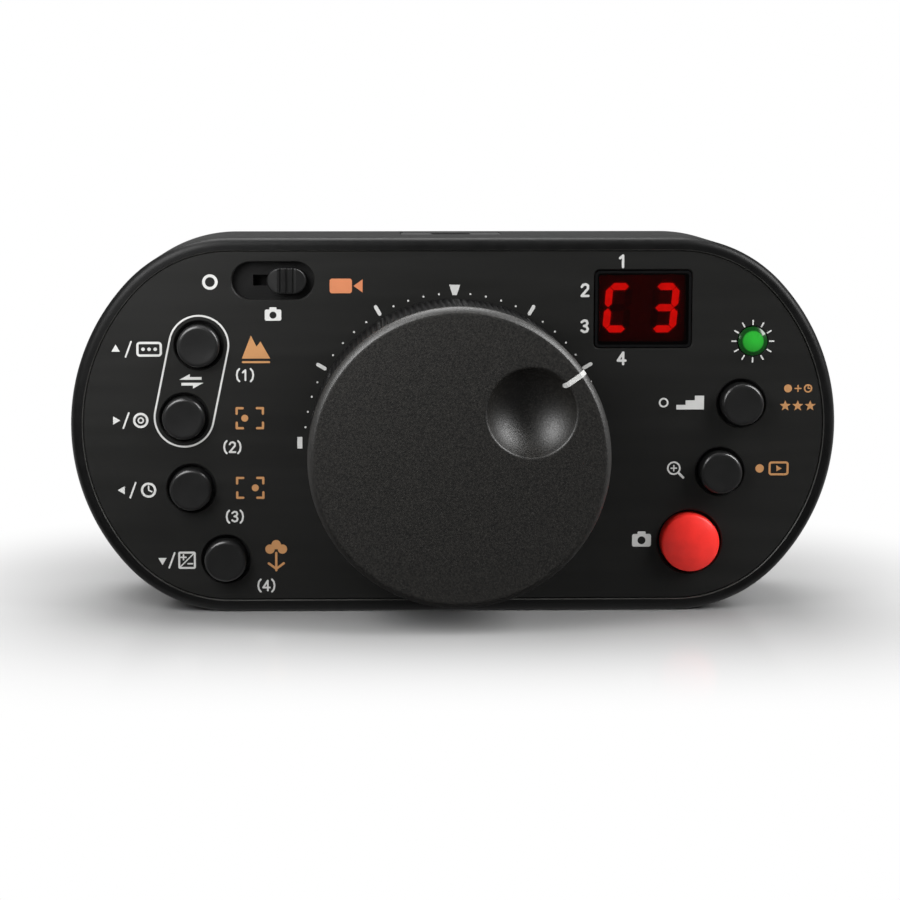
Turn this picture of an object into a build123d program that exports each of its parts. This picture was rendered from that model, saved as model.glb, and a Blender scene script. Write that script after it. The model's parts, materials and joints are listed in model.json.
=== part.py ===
from build123d import *
from math import cos, hypot, radians, sin, sqrt, tan
import os

# Hand-held focus controller: a two-shell housing that stands on its flat bottom,
# with a large knurled wheel on its front.
# Millimetres, +Z up, the front faces -Y. The origin is the mouth of the tripod thread
# in the middle of the bottom face.

os.makedirs("parts", exist_ok=True)

# Housing outline
case_width = 152.4
case_height = 75.0
corner_drop = 9.5
corner_radius = case_height / 2 - corner_drop
side_radius = corner_radius + 14.0

# Housing depth, from the front inwards
front_depth = 14.5
rear_depth = 14.5
wall = 2.0
bezel_width = 2.5
bezel_rise = 0.2
bezel_round = 1.6
bezel_bevel = 0.15
rear_round = 3.6
fascia_thick = 0.5
fascia_bevel = 0.2
plate_thick = 2.3
seam_depth = 7.5
lip_thick = 0.9
lip_height = 1.5

# Fits and gaps
slip = 0.1
seat_gap = 0.05
button_fit = 0.08
wheel_gap = 0.6

# Focus wheel
wheel_drop = 3.25
wheel_z = case_height / 2 - wheel_drop
wheel_radius = 28.8
wheel_height = 19.6
wheel_bevel = 1.0
face_thick = 2.6
drum_wall = 2.5
knurl_count = 150
knurl_depth = 0.4
hub_radius = 6.5
hub_gap = 0.7
rib_count = 6
rib_thick = 1.4
dish_radius = 8.6
dish_depth = 5.2
dish_wall = 1.4
dish_rim = 0.6
dish_offset = 16.2
dish_angle = 33.0
pointer_angle = 35.0
pointer_inner = 23.8
pointer_width = 1.0

# Encoder
encoder_depth = 5.5
encoder_width = 13.0
bush_radius = 4.5
bush_length = 6.4
nut_flats = 11.0
nut_height = 2.0
washer_radius = 6.2
washer_thick = 0.6
shaft_radius = 3.0
shaft_sunk = 3.0
shaft_spare = 1.0
shaft_flat = 1.5
insert_radius = 4.6
insert_length = 9.0

# Circuit board
board_thick = 1.6
board_margin = 1.6
board_clear = 0.4
board_post_radius = 2.8
board_screw_length = 5.0
board_head_height = 1.2
chip_size = 10.0
chip_height = 1.4
part_length = 3.2
part_width = 1.6
part_height = 1.0

# Push switches and caps
tact_width = 6.0
tact_height = 3.5
plunger_radius = 1.75
plunger_rise = 0.8
plunger_sunk = 0.8
stem_radius = 2.2
flange_thick = 0.8
flange_extra = 1.0
cap_radius = 4.2
cap_rise = 2.2
cap_round = 0.75
cap_hollow = 0.25
press_travel = 0.5
release_radius = 5.8
release_rise = 3.2
release_dome = 1.6
release_round = 0.8
release_travel = 0.6
well_ring = 0.65
well_depth = 1.0

# Mode slide switch
slot_length = 16.3
slot_width = 7.5
slot_depth = 1.5
knob_length = 7.8
knob_width = 5.1
knob_rise = 0.9
knob_flat = 3.9
knob_slope = 0.7
knob_round = 0.3
knob_groove = 0.25
knob_groove_count = 3
knob_groove_pitch = 1.3
slide_step = 2.7
lever_length = 2.4
lever_width = 2.0
lever_sunk = 1.2
switch_length = 15.0
switch_width = 6.6
switch_height = 4.2

# Display and status lamp
window_width = 19.3
window_height = 15.4
window_thick = 1.2
window_corner = 1.0
window_ledge = 1.0
module_width = 25.0
module_height = 19.0
digit_height = 10.0
digit_width = 5.4
digit_pitch = 9.4
bar_width = 1.5
bar_gap = 0.15
bar_rise = 0.15
digit_slant = 5.0
lens_radius = 2.9
lens_rise = 0.9
lens_flange = 0.8
led_radius = 1.5

# Battery bay
cell_radius = 7.1
cell_length = 49.5
cell_nub_radius = 2.7
cell_nub_length = 1.0
cell_gap = 0.6
cell_clear = 0.4
cell_lift = 0.5
cell_z = case_height / 2 + cell_lift
spring_reach = 5.2
contact_thick = 0.4
contact_width = 9.0
leaf_width = 4.0
leaf_root = 3.6
leaf_tip = 0.8
tab_width = 3.0
bay_wall = 1.5
bay_floor = 1.2
board_gap = 0.9

# Battery door
door_thick = 2.0
door_overlap = 2.2
door_gap = 0.15
door_corner = 3.0
rim_thick = 1.6
tongue_count = 2
tongue_pitch = 34.0
tongue_width = 8.0
tongue_thick = 1.2
tongue_reach = 2.0
tongue_root = 2.4
tongue_swing = 4.4
door_bevel = 0.25
notch_width = 14.0
notch_height = 5.0
notch_depth = 0.7
groove_count = 5
groove_pitch = 2.0
groove_width = 0.8
groove_length = 16.0

# Fasteners and sockets
screw_radius = 1.25
screw_length = 9.5
screw_seat_depth = 5.6
head_radius = 2.4
head_height = 1.8
cross_width = 0.7
cross_depth = 0.7
post_radius = 3.0
tube_radius = 3.6
tripod_hole_radius = 2.55
tripod_bush_radius = 4.6
tripod_bush_height = 9.0
tripod_bush_bevel = 0.5
tripod_boss_wall = 1.8
tripod_boss_top = 1.5
port_width = 20.4
port_depth = 9.0
port_y = 2.3
port_thick = 1.4
port_corner = 1.2
port_sink = 0.1
socket_width = 7.7
socket_depth = 3.9
socket_length = 9.2
socket_wall = 0.4
socket_tongue = 0.8
socket_sink = 0.4
port_board_thick = 1.2
port_board_width = 18.0
port_board_depth = 10.0
pin_count = 4
pin_pitch = 2.54
pin_width = 0.6
pin_drop = 1.8
pin_inset = 1.5
pin_spare = 0.6
header_width = 2.5
guide_thick = 2.5
guide_bite = 1.0
guide_lip = 2.0


def from_end(side, inset, share):
    """Place on the front: inset from one end of the case, at a share of its height."""
    return (side * (case_width / 2 - inset), case_height * share)


# Places on the front, as X and Z; side -1 is the left end and 1 the right end
button_places = {
    "far_button": from_end(-1, 25.6, 0.717),
    "up_button": from_end(-1, 22.6, 0.525),
    "down_button": from_end(-1, 23.9, 0.335),
    "near_button": from_end(-1, 30.7, 0.144),
    "step_button": from_end(1, 19.0, 0.559),
    "magnify_button": from_end(1, 23.1, 0.376),
}
release_place = from_end(1, 29.0, 0.187)
slot_place = from_end(-1, 40.3, 0.887)
window_place = from_end(1, 38.8, 0.811)
lens_place = from_end(1, 16.9, 0.725)
case_screw_places = [
    from_end(side, inset, share)
    for side in (1, -1)
    for inset, share in ((20.2, 0.86), (7.2, 0.5), (18.7, 0.14))
]
board_screw_places = [
    (slot_place[0] + switch_length / 2 + 8.4, case_height - 7.0),
    (window_place[0] - module_width / 2 - 7.4, case_height - 8.0),
    (-30.0, 6.6),
    (30.0, 6.6),
]
chip_place = (-24.0, wheel_z + 7.8)
part_offsets = [(-24.0, -1.2), (-31.0, 7.8), (-12.0, 19.8), (14.0, 19.8), (22.0, -4.2), (22.0, 1.8)]
part_places = [(x, wheel_z + z) for x, z in part_offsets]

# Depths along Y that follow from the sizes above
front_y = -front_depth
rear_y = rear_depth
fascia_y = front_y + bezel_rise
recess_y = fascia_y + fascia_thick
plate_back_y = recess_y + plate_thick
board_front_y = plate_back_y + encoder_depth
board_back_y = board_front_y + board_thick
seam_y = front_y + seam_depth
wheel_foot_y = fascia_y - wheel_gap
wheel_top_y = wheel_foot_y - wheel_height
bay_floor_front_y = board_back_y + board_gap
bay_floor_back_y = bay_floor_front_y + bay_floor
cell_y = bay_floor_back_y + seat_gap + cell_radius
door_inner_y = rear_y - door_thick
bush_end_y = plate_back_y - bush_length
hub_foot_y = bush_end_y - hub_gap
face_inner_y = wheel_top_y + face_thick
insert_end_y = hub_foot_y - insert_length
shaft_end_y = insert_end_y - shaft_spare
tact_front_y = board_front_y - tact_height
plunger_front_y = tact_front_y - plunger_rise
switch_front_y = board_front_y - switch_height
slot_floor_y = recess_y + slot_depth
mid_z = case_height / 2


def wall_plane(y):
    """Plane facing the front at depth y, with sketch X and Y on world X and Z."""
    return Plane(origin=(0, y, 0), x_dir=(1, 0, 0), z_dir=(0, -1, 0))


def arc_joint(inset):
    """Points where the corner arcs meet the side arcs and the flats, for a given inset."""
    corner_z = case_height / 2 - corner_radius
    spread = sqrt((side_radius - corner_radius) ** 2 - corner_z**2)
    corner_x = case_width / 2 - side_radius + spread
    reach = corner_radius - inset
    side_x = spread * reach / (side_radius - corner_radius)
    side_z = corner_z * reach / (side_radius - corner_radius)
    bisector = hypot(side_x, side_z + reach)
    middle = (corner_x + side_x * reach / bisector, corner_z + (side_z + reach) * reach / bisector)
    return (corner_x, case_height / 2 - inset), middle, (corner_x + side_x, corner_z + side_z)


def outline(inset):
    """Housing outline as a flat sketch, moved inwards by inset."""
    top, middle, side = arc_joint(inset)
    with BuildSketch() as shape:
        with BuildLine():
            for sx, sz in ((1, 1), (1, -1), (-1, -1), (-1, 1)):
                ThreePointArc(
                    (sx * top[0], mid_z + sz * top[1]),
                    (sx * middle[0], mid_z + sz * middle[1]),
                    (sx * side[0], mid_z + sz * side[1]),
                )
            for sx in (1, -1):
                ThreePointArc(
                    (sx * side[0], mid_z + side[1]),
                    (sx * (case_width / 2 - inset), mid_z),
                    (sx * side[0], mid_z - side[1]),
                )
            for sz in (1, -1):
                Line((-top[0], mid_z + sz * top[1]), (top[0], mid_z + sz * top[1]))
        make_face()
    return shape.sketch


def dome_rise(rim, crown):
    """Height of a dome over its rim at half the rim's radius; a negative crown is a hollow."""
    ball = (rim**2 + crown**2) / (2 * abs(crown))
    return (sqrt(ball**2 - rim**2 / 4) - ball + abs(crown)) * crown / abs(crown)


def save(piece, name):
    """Labels a finished piece and writes its file."""
    piece.part.label = name
    export_step(piece.part, "parts/" + name + ".step")


def polar(radius, angle):
    """Point on the wheel at an angle from +X, as X and Z."""
    return (radius * cos(radians(angle)), wheel_z + radius * sin(radians(angle)))


# Front case: a shallow tray with the rounded bezel, the panel recess and the posts
with BuildPart() as front_case:
    with BuildSketch(wall_plane(seam_y)):
        add(outline(0))
    extrude(amount=seam_depth)
    fillet(front_case.faces().sort_by(Axis.Y)[0].edges(), bezel_round)
    with BuildSketch(wall_plane(recess_y)):
        add(outline(bezel_width))
    extrude(amount=bezel_rise + fascia_thick, mode=Mode.SUBTRACT)
    chamfer(front_case.faces().sort_by(Axis.Y)[0].inner_wires()[0].edges(), bezel_bevel)
    with BuildSketch(wall_plane(seam_y)):
        add(outline(wall))
    extrude(amount=seam_y - plate_back_y, mode=Mode.SUBTRACT)
    with BuildSketch(wall_plane(seam_y)):
        add(outline(wall - lip_thick))
    extrude(amount=lip_height + seat_gap, mode=Mode.SUBTRACT)
    # Posts for the case screws stop at the seam, the board posts at the board
    with BuildSketch(wall_plane(seam_y)):
        with Locations(*case_screw_places):
            Circle(post_radius)
    extrude(amount=seam_y - plate_back_y)
    with BuildSketch(wall_plane(board_front_y)):
        with Locations(*board_screw_places):
            Circle(board_post_radius)
    extrude(amount=board_front_y - plate_back_y)
    with BuildSketch(wall_plane(board_front_y)):
        with Locations(*case_screw_places, *board_screw_places):
            Circle(screw_radius + seat_gap)
    extrude(amount=board_front_y - plate_back_y, mode=Mode.SUBTRACT)
    # Sunk rings round the buttons, then the holes through the front plate
    with BuildSketch(wall_plane(recess_y)):
        with Locations(*button_places.values()):
            Circle(cap_radius + well_ring)
        with Locations(release_place):
            Circle(release_radius + well_ring)
    extrude(amount=-well_depth, mode=Mode.SUBTRACT)
    with BuildSketch(wall_plane(plate_back_y)):
        with Locations(*button_places.values()):
            Circle(cap_radius + button_fit)
        with Locations(release_place):
            Circle(release_radius + button_fit)
        with Locations((0, wheel_z)):
            Circle(bush_radius + slip)
        with Locations(lens_place):
            Circle(lens_radius + slip)
        with Locations(window_place):
            RectangleRounded(
                window_width - 2 * window_ledge, window_height - 2 * window_ledge, window_corner / 2
            )
        with Locations(slot_place):
            Rectangle(lever_length + 2 * slide_step + 2 * slip, lever_width + 2 * slip)
    extrude(amount=plate_thick, mode=Mode.SUBTRACT)
    with BuildSketch(wall_plane(recess_y)):
        with Locations(window_place):
            RectangleRounded(window_width + 2 * slip, window_height + 2 * slip, window_corner)
    extrude(amount=-(window_thick - fascia_thick), mode=Mode.SUBTRACT)
    with BuildSketch(wall_plane(recess_y)):
        with Locations(slot_place):
            SlotOverall(slot_length, slot_width)
    extrude(amount=-slot_depth, mode=Mode.SUBTRACT)
save(front_case, "front_case")

# Fascia panel: thin plate with bevelled edges
with BuildPart() as fascia_panel:
    with BuildSketch(wall_plane(recess_y)):
        add(outline(bezel_width + slip))
        with Locations(*button_places.values()):
            Circle(cap_radius + well_ring, mode=Mode.SUBTRACT)
        with Locations(release_place):
            Circle(release_radius + well_ring, mode=Mode.SUBTRACT)
        with Locations((0, wheel_z)):
            Circle(washer_radius + slip, mode=Mode.SUBTRACT)
        with Locations(lens_place):
            Circle(lens_radius + slip, mode=Mode.SUBTRACT)
        with Locations(window_place):
            RectangleRounded(
                window_width + 2 * slip, window_height + 2 * slip, window_corner, mode=Mode.SUBTRACT
            )
        with Locations(slot_place):
            SlotOverall(slot_length, slot_width, mode=Mode.SUBTRACT)
    extrude(amount=fascia_thick)
    chamfer(fascia_panel.faces().sort_by(Axis.Y)[0].edges(), fascia_bevel)
save(fascia_panel, "fascia_panel")

# Battery bay, door and port places that several pieces share
bay_half_x = (cell_length + cell_nub_length + spring_reach + 2 * contact_thick + 2 * seat_gap) / 2
bay_half_z = 2 * cell_radius + cell_gap / 2 + cell_clear
door_half_x = bay_half_x + door_overlap
door_half_z = bay_half_z + door_overlap
tongue_xs = [(i - (tongue_count - 1) / 2) * tongue_pitch for i in range(tongue_count)]
hinge_z = cell_z - door_half_z - door_gap
cell_zs = (cell_z + cell_radius + cell_gap / 2, cell_z - cell_radius - cell_gap / 2)
boss_radius = tripod_bush_radius + tripod_boss_wall
boss_height = tripod_bush_height + tripod_boss_top
port_board_z = case_height - socket_sink - socket_length
pin_xs = [(i - (pin_count - 1) / 2) * pin_pitch for i in range(pin_count)]
pin_y = port_y - port_board_depth / 2 + pin_inset
pin_z = port_board_z - port_board_thick - pin_drop
pin_hole_radius = pin_width / sqrt(2) + slip
guide_x = port_board_width / 2 + slip - guide_bite + guide_thick / 2


# Rear case: deep shell with the lip, the battery bay, the screw tubes and the bosses
with BuildPart() as rear_case:
    with BuildSketch(wall_plane(rear_y)):
        add(outline(0))
    extrude(amount=rear_y - seam_y)
    fillet(rear_case.faces().sort_by(Axis.Y)[-1].edges(), rear_round)
    with BuildSketch(wall_plane(rear_y - wall)):
        add(outline(wall))
    extrude(amount=rear_y - wall - seam_y, mode=Mode.SUBTRACT)
    # Lip that goes inside the front case
    with BuildSketch(wall_plane(seam_y + wall)):
        add(outline(wall - lip_thick + slip))
        add(outline(wall), mode=Mode.SUBTRACT)
    extrude(amount=wall + lip_height)
    # Battery bay: floor, walls and the rim that the door rests on
    with BuildSketch(wall_plane(rear_y - wall)):
        with Locations((0, cell_z)):
            Rectangle(2 * (bay_half_x + bay_wall), 2 * (bay_half_z + bay_wall))
    extrude(amount=rear_y - wall - bay_floor_front_y)
    with BuildSketch(wall_plane(rear_y - wall)):
        with Locations((0, cell_z)):
            Rectangle(2 * (door_half_x + rim_thick), 2 * (door_half_z + rim_thick))
    extrude(amount=rim_thick)
    with BuildSketch(wall_plane(rear_y)):
        with Locations((0, cell_z)):
            Rectangle(2 * bay_half_x, 2 * bay_half_z)
    extrude(amount=rear_y - bay_floor_back_y, mode=Mode.SUBTRACT)
    with BuildSketch(wall_plane(rear_y)):
        with Locations((0, cell_z)):
            RectangleRounded(2 * (door_half_x + door_gap), 2 * (door_half_z + door_gap), door_corner)
    extrude(amount=door_thick, mode=Mode.SUBTRACT)
    # Pockets that the hooks of the door swing in, and slots for the contact tabs
    with BuildSketch(wall_plane(door_inner_y)):
        with Locations(*[(x, hinge_z) for x in tongue_xs]):
            Rectangle(tongue_width + 2 * door_gap, 2 * tongue_swing)
    extrude(amount=tongue_swing, mode=Mode.SUBTRACT)
    with BuildSketch(wall_plane(bay_floor_back_y)):
        with Locations(*[(bay_half_x - contact_thick / 2 - seat_gap, z) for z in cell_zs]):
            Rectangle(contact_thick + 2 * slip, tab_width + 2 * slip)
    extrude(amount=bay_floor, mode=Mode.SUBTRACT)
    # Thumb notch above the door
    with BuildSketch(wall_plane(rear_y)):
        with Locations((0, cell_z + door_half_z + door_gap)):
            SlotOverall(notch_width, notch_height)
    extrude(amount=notch_depth, mode=Mode.SUBTRACT)
    # Screw tubes with their counterbores
    with BuildSketch(wall_plane(rear_y - wall)):
        with Locations(*case_screw_places):
            Circle(tube_radius)
    extrude(amount=rear_y - wall - seam_y)
    with BuildSketch(wall_plane(rear_y)):
        with Locations(*case_screw_places):
            Circle(screw_radius + slip)
    extrude(amount=rear_y - seam_y, mode=Mode.SUBTRACT)
    with BuildSketch(wall_plane(rear_y)):
        with Locations(*case_screw_places):
            Circle(head_radius + slip)
    extrude(amount=rear_y - seam_y - screw_seat_depth, mode=Mode.SUBTRACT)
    # Boss for the tripod bush
    with BuildSketch(Plane.XY):
        Circle(boss_radius)
    extrude(amount=boss_height)
    with BuildSketch(Plane.XY):
        Circle(tripod_bush_radius + seat_gap)
    extrude(amount=tripod_bush_height, mode=Mode.SUBTRACT)
    # Guides that carry the connector board, and the opening above it
    with BuildSketch(wall_plane(rear_y - wall)):
        with Locations(*[(s * guide_x, port_board_z - port_board_thick / 2) for s in (-1, 1)]):
            Rectangle(guide_thick, port_board_thick + 2 * guide_lip)
    extrude(amount=rear_y - wall - port_y + port_board_depth / 2)
    with BuildSketch(wall_plane(port_y + port_board_depth / 2 + slip)):
        with Locations((0, port_board_z - port_board_thick / 2)):
            Rectangle(port_board_width + 2 * slip, port_board_thick + 2 * seat_gap)
    extrude(amount=port_board_depth + 2 * slip, mode=Mode.SUBTRACT)
    with BuildSketch(Plane.XY.offset(case_height)):
        with Locations((0, port_y)):
            RectangleRounded(port_width + 2 * slip, port_depth + 2 * slip, port_corner)
    extrude(amount=-port_thick - port_sink, mode=Mode.SUBTRACT)
    with BuildSketch(Plane.XY.offset(case_height)):
        with Locations((0, port_y)):
            Rectangle(socket_width + 2 * slip, socket_depth + 2 * slip)
    extrude(amount=-2 * wall, mode=Mode.SUBTRACT)
save(rear_case, "rear_case")

# Connector on the top wall: cover plate, socket and its small board
with BuildPart() as port_plate:
    with BuildSketch(Plane.XY.offset(case_height - port_sink - port_thick)):
        with Locations((0, port_y)):
            RectangleRounded(port_width, port_depth, port_corner)
            Rectangle(socket_width + 2 * slip, socket_depth + 2 * slip, mode=Mode.SUBTRACT)
    extrude(amount=port_thick)
save(port_plate, "port_plate")

with BuildPart() as usb_socket:
    with BuildSketch(Plane.XY.offset(port_board_z)):
        with Locations((0, port_y)):
            Rectangle(socket_width, socket_depth)
    extrude(amount=socket_length)
    with BuildSketch(Plane.XY.offset(port_board_z + socket_wall)):
        with Locations((0, port_y)):
            Rectangle(socket_width - 2 * socket_wall, socket_depth - 2 * socket_wall)
    extrude(amount=socket_length, mode=Mode.SUBTRACT)
    with BuildSketch(Plane.XY.offset(port_board_z)):
        with Locations((0, port_y)):
            Rectangle(socket_width / 2, socket_tongue)
    extrude(amount=socket_length - 2 * socket_wall)
save(usb_socket, "usb_socket")

with BuildPart() as port_board:
    with BuildSketch(Plane.XY.offset(port_board_z)):
        with Locations((0, port_y)):
            Rectangle(port_board_width, port_board_depth)
        with Locations(*[(x, pin_y) for x in pin_xs]):
            Circle(pin_hole_radius, mode=Mode.SUBTRACT)
    extrude(amount=-port_board_thick)
save(port_board, "port_board")

# Right-angle pins that join the connector board to the main board, and their block
pin_path = [
    (board_front_y - pin_spare, pin_z - pin_width / 2),
    (pin_y + pin_width / 2, pin_z - pin_width / 2),
    (pin_y + pin_width / 2, port_board_z + pin_spare),
    (pin_y - pin_width / 2, port_board_z + pin_spare),
    (pin_y - pin_width / 2, pin_z + pin_width / 2),
    (board_front_y - pin_spare, pin_z + pin_width / 2),
]
with BuildPart() as port_pins:
    for x in pin_xs:
        with BuildSketch(Plane.YZ.offset(x)):
            with BuildLine():
                Polyline(*pin_path, close=True)
            make_face()
        extrude(amount=pin_width / 2, both=True)
save(port_pins, "port_pins")

with BuildPart() as port_header:
    with BuildSketch(wall_plane(board_back_y + seat_gap + header_width)):
        with Locations((0, pin_z)):
            Rectangle(pin_count * pin_pitch, header_width)
        with Locations(*[(x, pin_z) for x in pin_xs]):
            Rectangle(pin_width + 2 * seat_gap, pin_width + 2 * seat_gap, mode=Mode.SUBTRACT)
    extrude(amount=header_width)
save(port_header, "port_header")

# Tripod bush: brass, with a groove that the plastic grips
with BuildPart() as tripod_bush:
    with BuildSketch(Plane.XY):
        Circle(tripod_bush_radius)
        Circle(tripod_hole_radius, mode=Mode.SUBTRACT)
    extrude(amount=tripod_bush_height)
    with BuildSketch(Plane.XY.offset(tripod_bush_height / 2)):
        Circle(tripod_bush_radius)
        Circle(tripod_bush_radius - screw_radius / 2, mode=Mode.SUBTRACT)
    extrude(amount=screw_radius / 2, both=True, mode=Mode.SUBTRACT)
    chamfer(tripod_bush.faces().sort_by(Axis.Z)[0].inner_wires()[0].edges(), tripod_bush_bevel)
save(tripod_bush, "tripod_bush")


# Fasteners, each kind a group of separate screws
def screws(places, seat_y, length, height):
    """Group of equal pan-head screws whose heads lie behind seat_y."""
    with BuildPart() as group:
        with BuildSketch(wall_plane(seat_y)):
            with Locations(*places):
                Circle(screw_radius)
        extrude(amount=length)
        with BuildSketch(wall_plane(seat_y + height)):
            with Locations(*places):
                Circle(head_radius)
        extrude(amount=height)
        heads = group.faces().sort_by(Axis.Y)[-len(places):]
        chamfer(heads.edges(), height / 3)
        with BuildSketch(wall_plane(seat_y + height)):
            with Locations(*places):
                Rectangle(2 * (head_radius - height / 3), cross_width)
                Rectangle(cross_width, 2 * (head_radius - height / 3))
        extrude(amount=cross_depth, mode=Mode.SUBTRACT)
    return group


case_screws = screws(case_screw_places, seam_y + screw_seat_depth, screw_length, head_height)
save(case_screws, "case_screws")
board_screws = screws(board_screw_places, board_back_y, board_screw_length, board_head_height)
save(board_screws, "board_screws")

# Main board, notched round the screw tubes and the tripod boss
with BuildPart() as main_board:
    with BuildSketch(wall_plane(board_back_y)):
        add(outline(wall + board_margin))
        with Locations(*case_screw_places):
            Circle(tube_radius + board_clear, mode=Mode.SUBTRACT)
        with Locations(*board_screw_places):
            Circle(screw_radius + slip, mode=Mode.SUBTRACT)
        with Locations(*[(x, pin_z) for x in pin_xs]):
            Circle(pin_hole_radius, mode=Mode.SUBTRACT)
        Rectangle(2 * (boss_radius + board_clear), 2 * (boss_height + board_clear), mode=Mode.SUBTRACT)
    extrude(amount=board_thick)
save(main_board, "main_board")

with BuildPart() as controller_chip:
    with BuildSketch(wall_plane(board_front_y)):
        with Locations(chip_place):
            Rectangle(chip_size, chip_size)
    extrude(amount=chip_height)
save(controller_chip, "controller_chip")

with BuildPart() as board_parts:
    with BuildSketch(wall_plane(board_front_y)):
        with Locations(*part_places):
            Rectangle(part_length, part_width)
    extrude(amount=part_height)
save(board_parts, "board_parts")

# Encoder: block, threaded bush, washer and nut
with BuildPart() as encoder_body:
    with BuildSketch(wall_plane(board_front_y)):
        with Locations((0, wheel_z)):
            Rectangle(encoder_width, encoder_width)
    extrude(amount=encoder_depth)
    with BuildSketch(wall_plane(plate_back_y)):
        with Locations((0, wheel_z)):
            Circle(shaft_radius + seat_gap)
    extrude(amount=-shaft_sunk - slip, mode=Mode.SUBTRACT)
save(encoder_body, "encoder_body")

with BuildPart() as encoder_bush:
    with BuildSketch(wall_plane(plate_back_y)):
        with Locations((0, wheel_z)):
            Circle(bush_radius)
            Circle(shaft_radius + seat_gap, mode=Mode.SUBTRACT)
    extrude(amount=bush_length)
save(encoder_bush, "encoder_bush")

with BuildPart() as encoder_washer:
    with BuildSketch(wall_plane(recess_y)):
        with Locations((0, wheel_z)):
            Circle(washer_radius)
            Circle(bush_radius + seat_gap, mode=Mode.SUBTRACT)
    extrude(amount=washer_thick)
save(encoder_washer, "encoder_washer")

with BuildPart() as encoder_nut:
    with BuildSketch(wall_plane(recess_y - washer_thick)):
        with Locations((0, wheel_z)):
            RegularPolygon(nut_flats / 2, 6, major_radius=False)
            Circle(bush_radius + seat_gap, mode=Mode.SUBTRACT)
    extrude(amount=nut_height)
save(encoder_nut, "encoder_nut")


def d_shape(radius, flat):
    """Round section with one flat, centred on the wheel, as a sketch."""
    with BuildSketch() as shape:
        with Locations((0, wheel_z)):
            Circle(radius)
        with Locations((0, wheel_z + 2 * radius - flat)):
            Rectangle(2 * radius, 2 * radius, mode=Mode.SUBTRACT)
    return shape.sketch


# Shaft of the encoder, which turns with the wheel
with BuildPart() as encoder_shaft:
    with BuildSketch(wall_plane(plate_back_y + shaft_sunk)):
        with Locations((0, wheel_z)):
            Circle(shaft_radius)
    extrude(amount=shaft_sunk + bush_length)
    with BuildSketch(wall_plane(bush_end_y)):
        add(d_shape(shaft_radius, shaft_flat))
    extrude(amount=bush_end_y - shaft_end_y)
save(encoder_shaft, "encoder_shaft")

with BuildPart() as wheel_insert:
    with BuildSketch(wall_plane(hub_foot_y)):
        with Locations((0, wheel_z)):
            Circle(insert_radius)
        add(d_shape(shaft_radius + seat_gap, shaft_flat), mode=Mode.SUBTRACT)
    extrude(amount=insert_length)
save(wheel_insert, "wheel_insert")

# Wheel drum: knurled ring, spokes and hub
with BuildPart() as wheel_drum:
    with BuildSketch(wall_plane(wheel_foot_y)):
        with BuildLine():
            Polyline(
                *[
                    polar(wheel_radius - knurl_depth * (i % 2), 180 * i / knurl_count)
                    for i in range(2 * knurl_count)
                ],
                close=True,
            )
        make_face()
        with Locations((0, wheel_z)):
            Circle(wheel_radius - drum_wall, mode=Mode.SUBTRACT)
    extrude(amount=wheel_foot_y - face_inner_y)
    with BuildSketch(wall_plane(hub_foot_y)):
        with Locations((0, wheel_z)):
            Circle(hub_radius)
    extrude(amount=hub_foot_y - face_inner_y)
    with BuildSketch(wall_plane(hub_foot_y)):
        with Locations((0, wheel_z)):
            with PolarLocations((hub_radius + wheel_radius - drum_wall) / 2, rib_count):
                Rectangle(wheel_radius - drum_wall - hub_radius + 1, rib_thick)
    extrude(amount=insert_length)
    with BuildSketch(wall_plane(hub_foot_y)):
        with Locations((0, wheel_z)):
            Circle(insert_radius + seat_gap)
    extrude(amount=insert_length, mode=Mode.SUBTRACT)
    with BuildSketch(wall_plane(insert_end_y)):
        with Locations((0, wheel_z)):
            Circle(shaft_radius + slip)
    extrude(amount=shaft_spare + slip, mode=Mode.SUBTRACT)
save(wheel_drum, "wheel_drum")

# Wheel face: bevelled disc with the finger dish, and the pointer let into its rim
dish_sphere = (dish_radius**2 + dish_depth**2) / (2 * dish_depth)
dish_x, dish_z = polar(dish_offset, dish_angle)
dish_y = wheel_top_y + dish_depth - dish_sphere


def face_disc():
    """Bevelled disc of the wheel face with the round-edged dish cut into it."""
    with BuildPart() as disc:
        with BuildSketch(wall_plane(face_inner_y)):
            with Locations((0, wheel_z)):
                Circle(wheel_radius)
        extrude(amount=face_thick)
        chamfer(disc.faces().sort_by(Axis.Y)[0].edges(), wheel_bevel)
        with Locations((dish_x, dish_y, dish_z)):
            Sphere(dish_sphere, mode=Mode.SUBTRACT)
        fillet(disc.faces().sort_by(Axis.Y)[0].inner_wires()[0].edges(), dish_rim)
    return disc.part


def pointer_slot():
    """Outline of the pointer: one round end towards the hub, open past the rim."""
    middle = polar((pointer_inner + wheel_radius + pointer_width) / 2, pointer_angle)
    with BuildSketch() as shape:
        with Locations(Location((*middle, 0), (0, 0, pointer_angle))):
            SlotOverall(wheel_radius + pointer_width - pointer_inner, pointer_width)
    return shape.sketch


# Cup under the dish, cut off where the disc begins
with BuildPart() as dish_cup:
    with Locations((dish_x, dish_y, dish_z)):
        Sphere(dish_sphere + dish_wall)
    with BuildSketch(wall_plane(face_inner_y)):
        with Locations((0, wheel_z)):
            Circle(2 * wheel_radius)
    extrude(amount=2 * dish_sphere, mode=Mode.SUBTRACT)
    with Locations((dish_x, dish_y, dish_z)):
        Sphere(dish_sphere, mode=Mode.SUBTRACT)

with BuildPart() as wheel_face:
    add(face_disc())
    add(dish_cup.part)
    with BuildSketch(wall_plane(wheel_top_y + wheel_bevel + slip)):
        add(pointer_slot())
    extrude(amount=wheel_bevel + slip, mode=Mode.SUBTRACT)
save(wheel_face, "wheel_face")

with BuildPart() as wheel_pointer:
    add(face_disc())
    with BuildSketch(wall_plane(wheel_top_y + wheel_bevel + slip)):
        add(pointer_slot())
    extrude(amount=wheel_bevel + slip, mode=Mode.INTERSECT)
save(wheel_pointer, "wheel_pointer")

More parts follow.
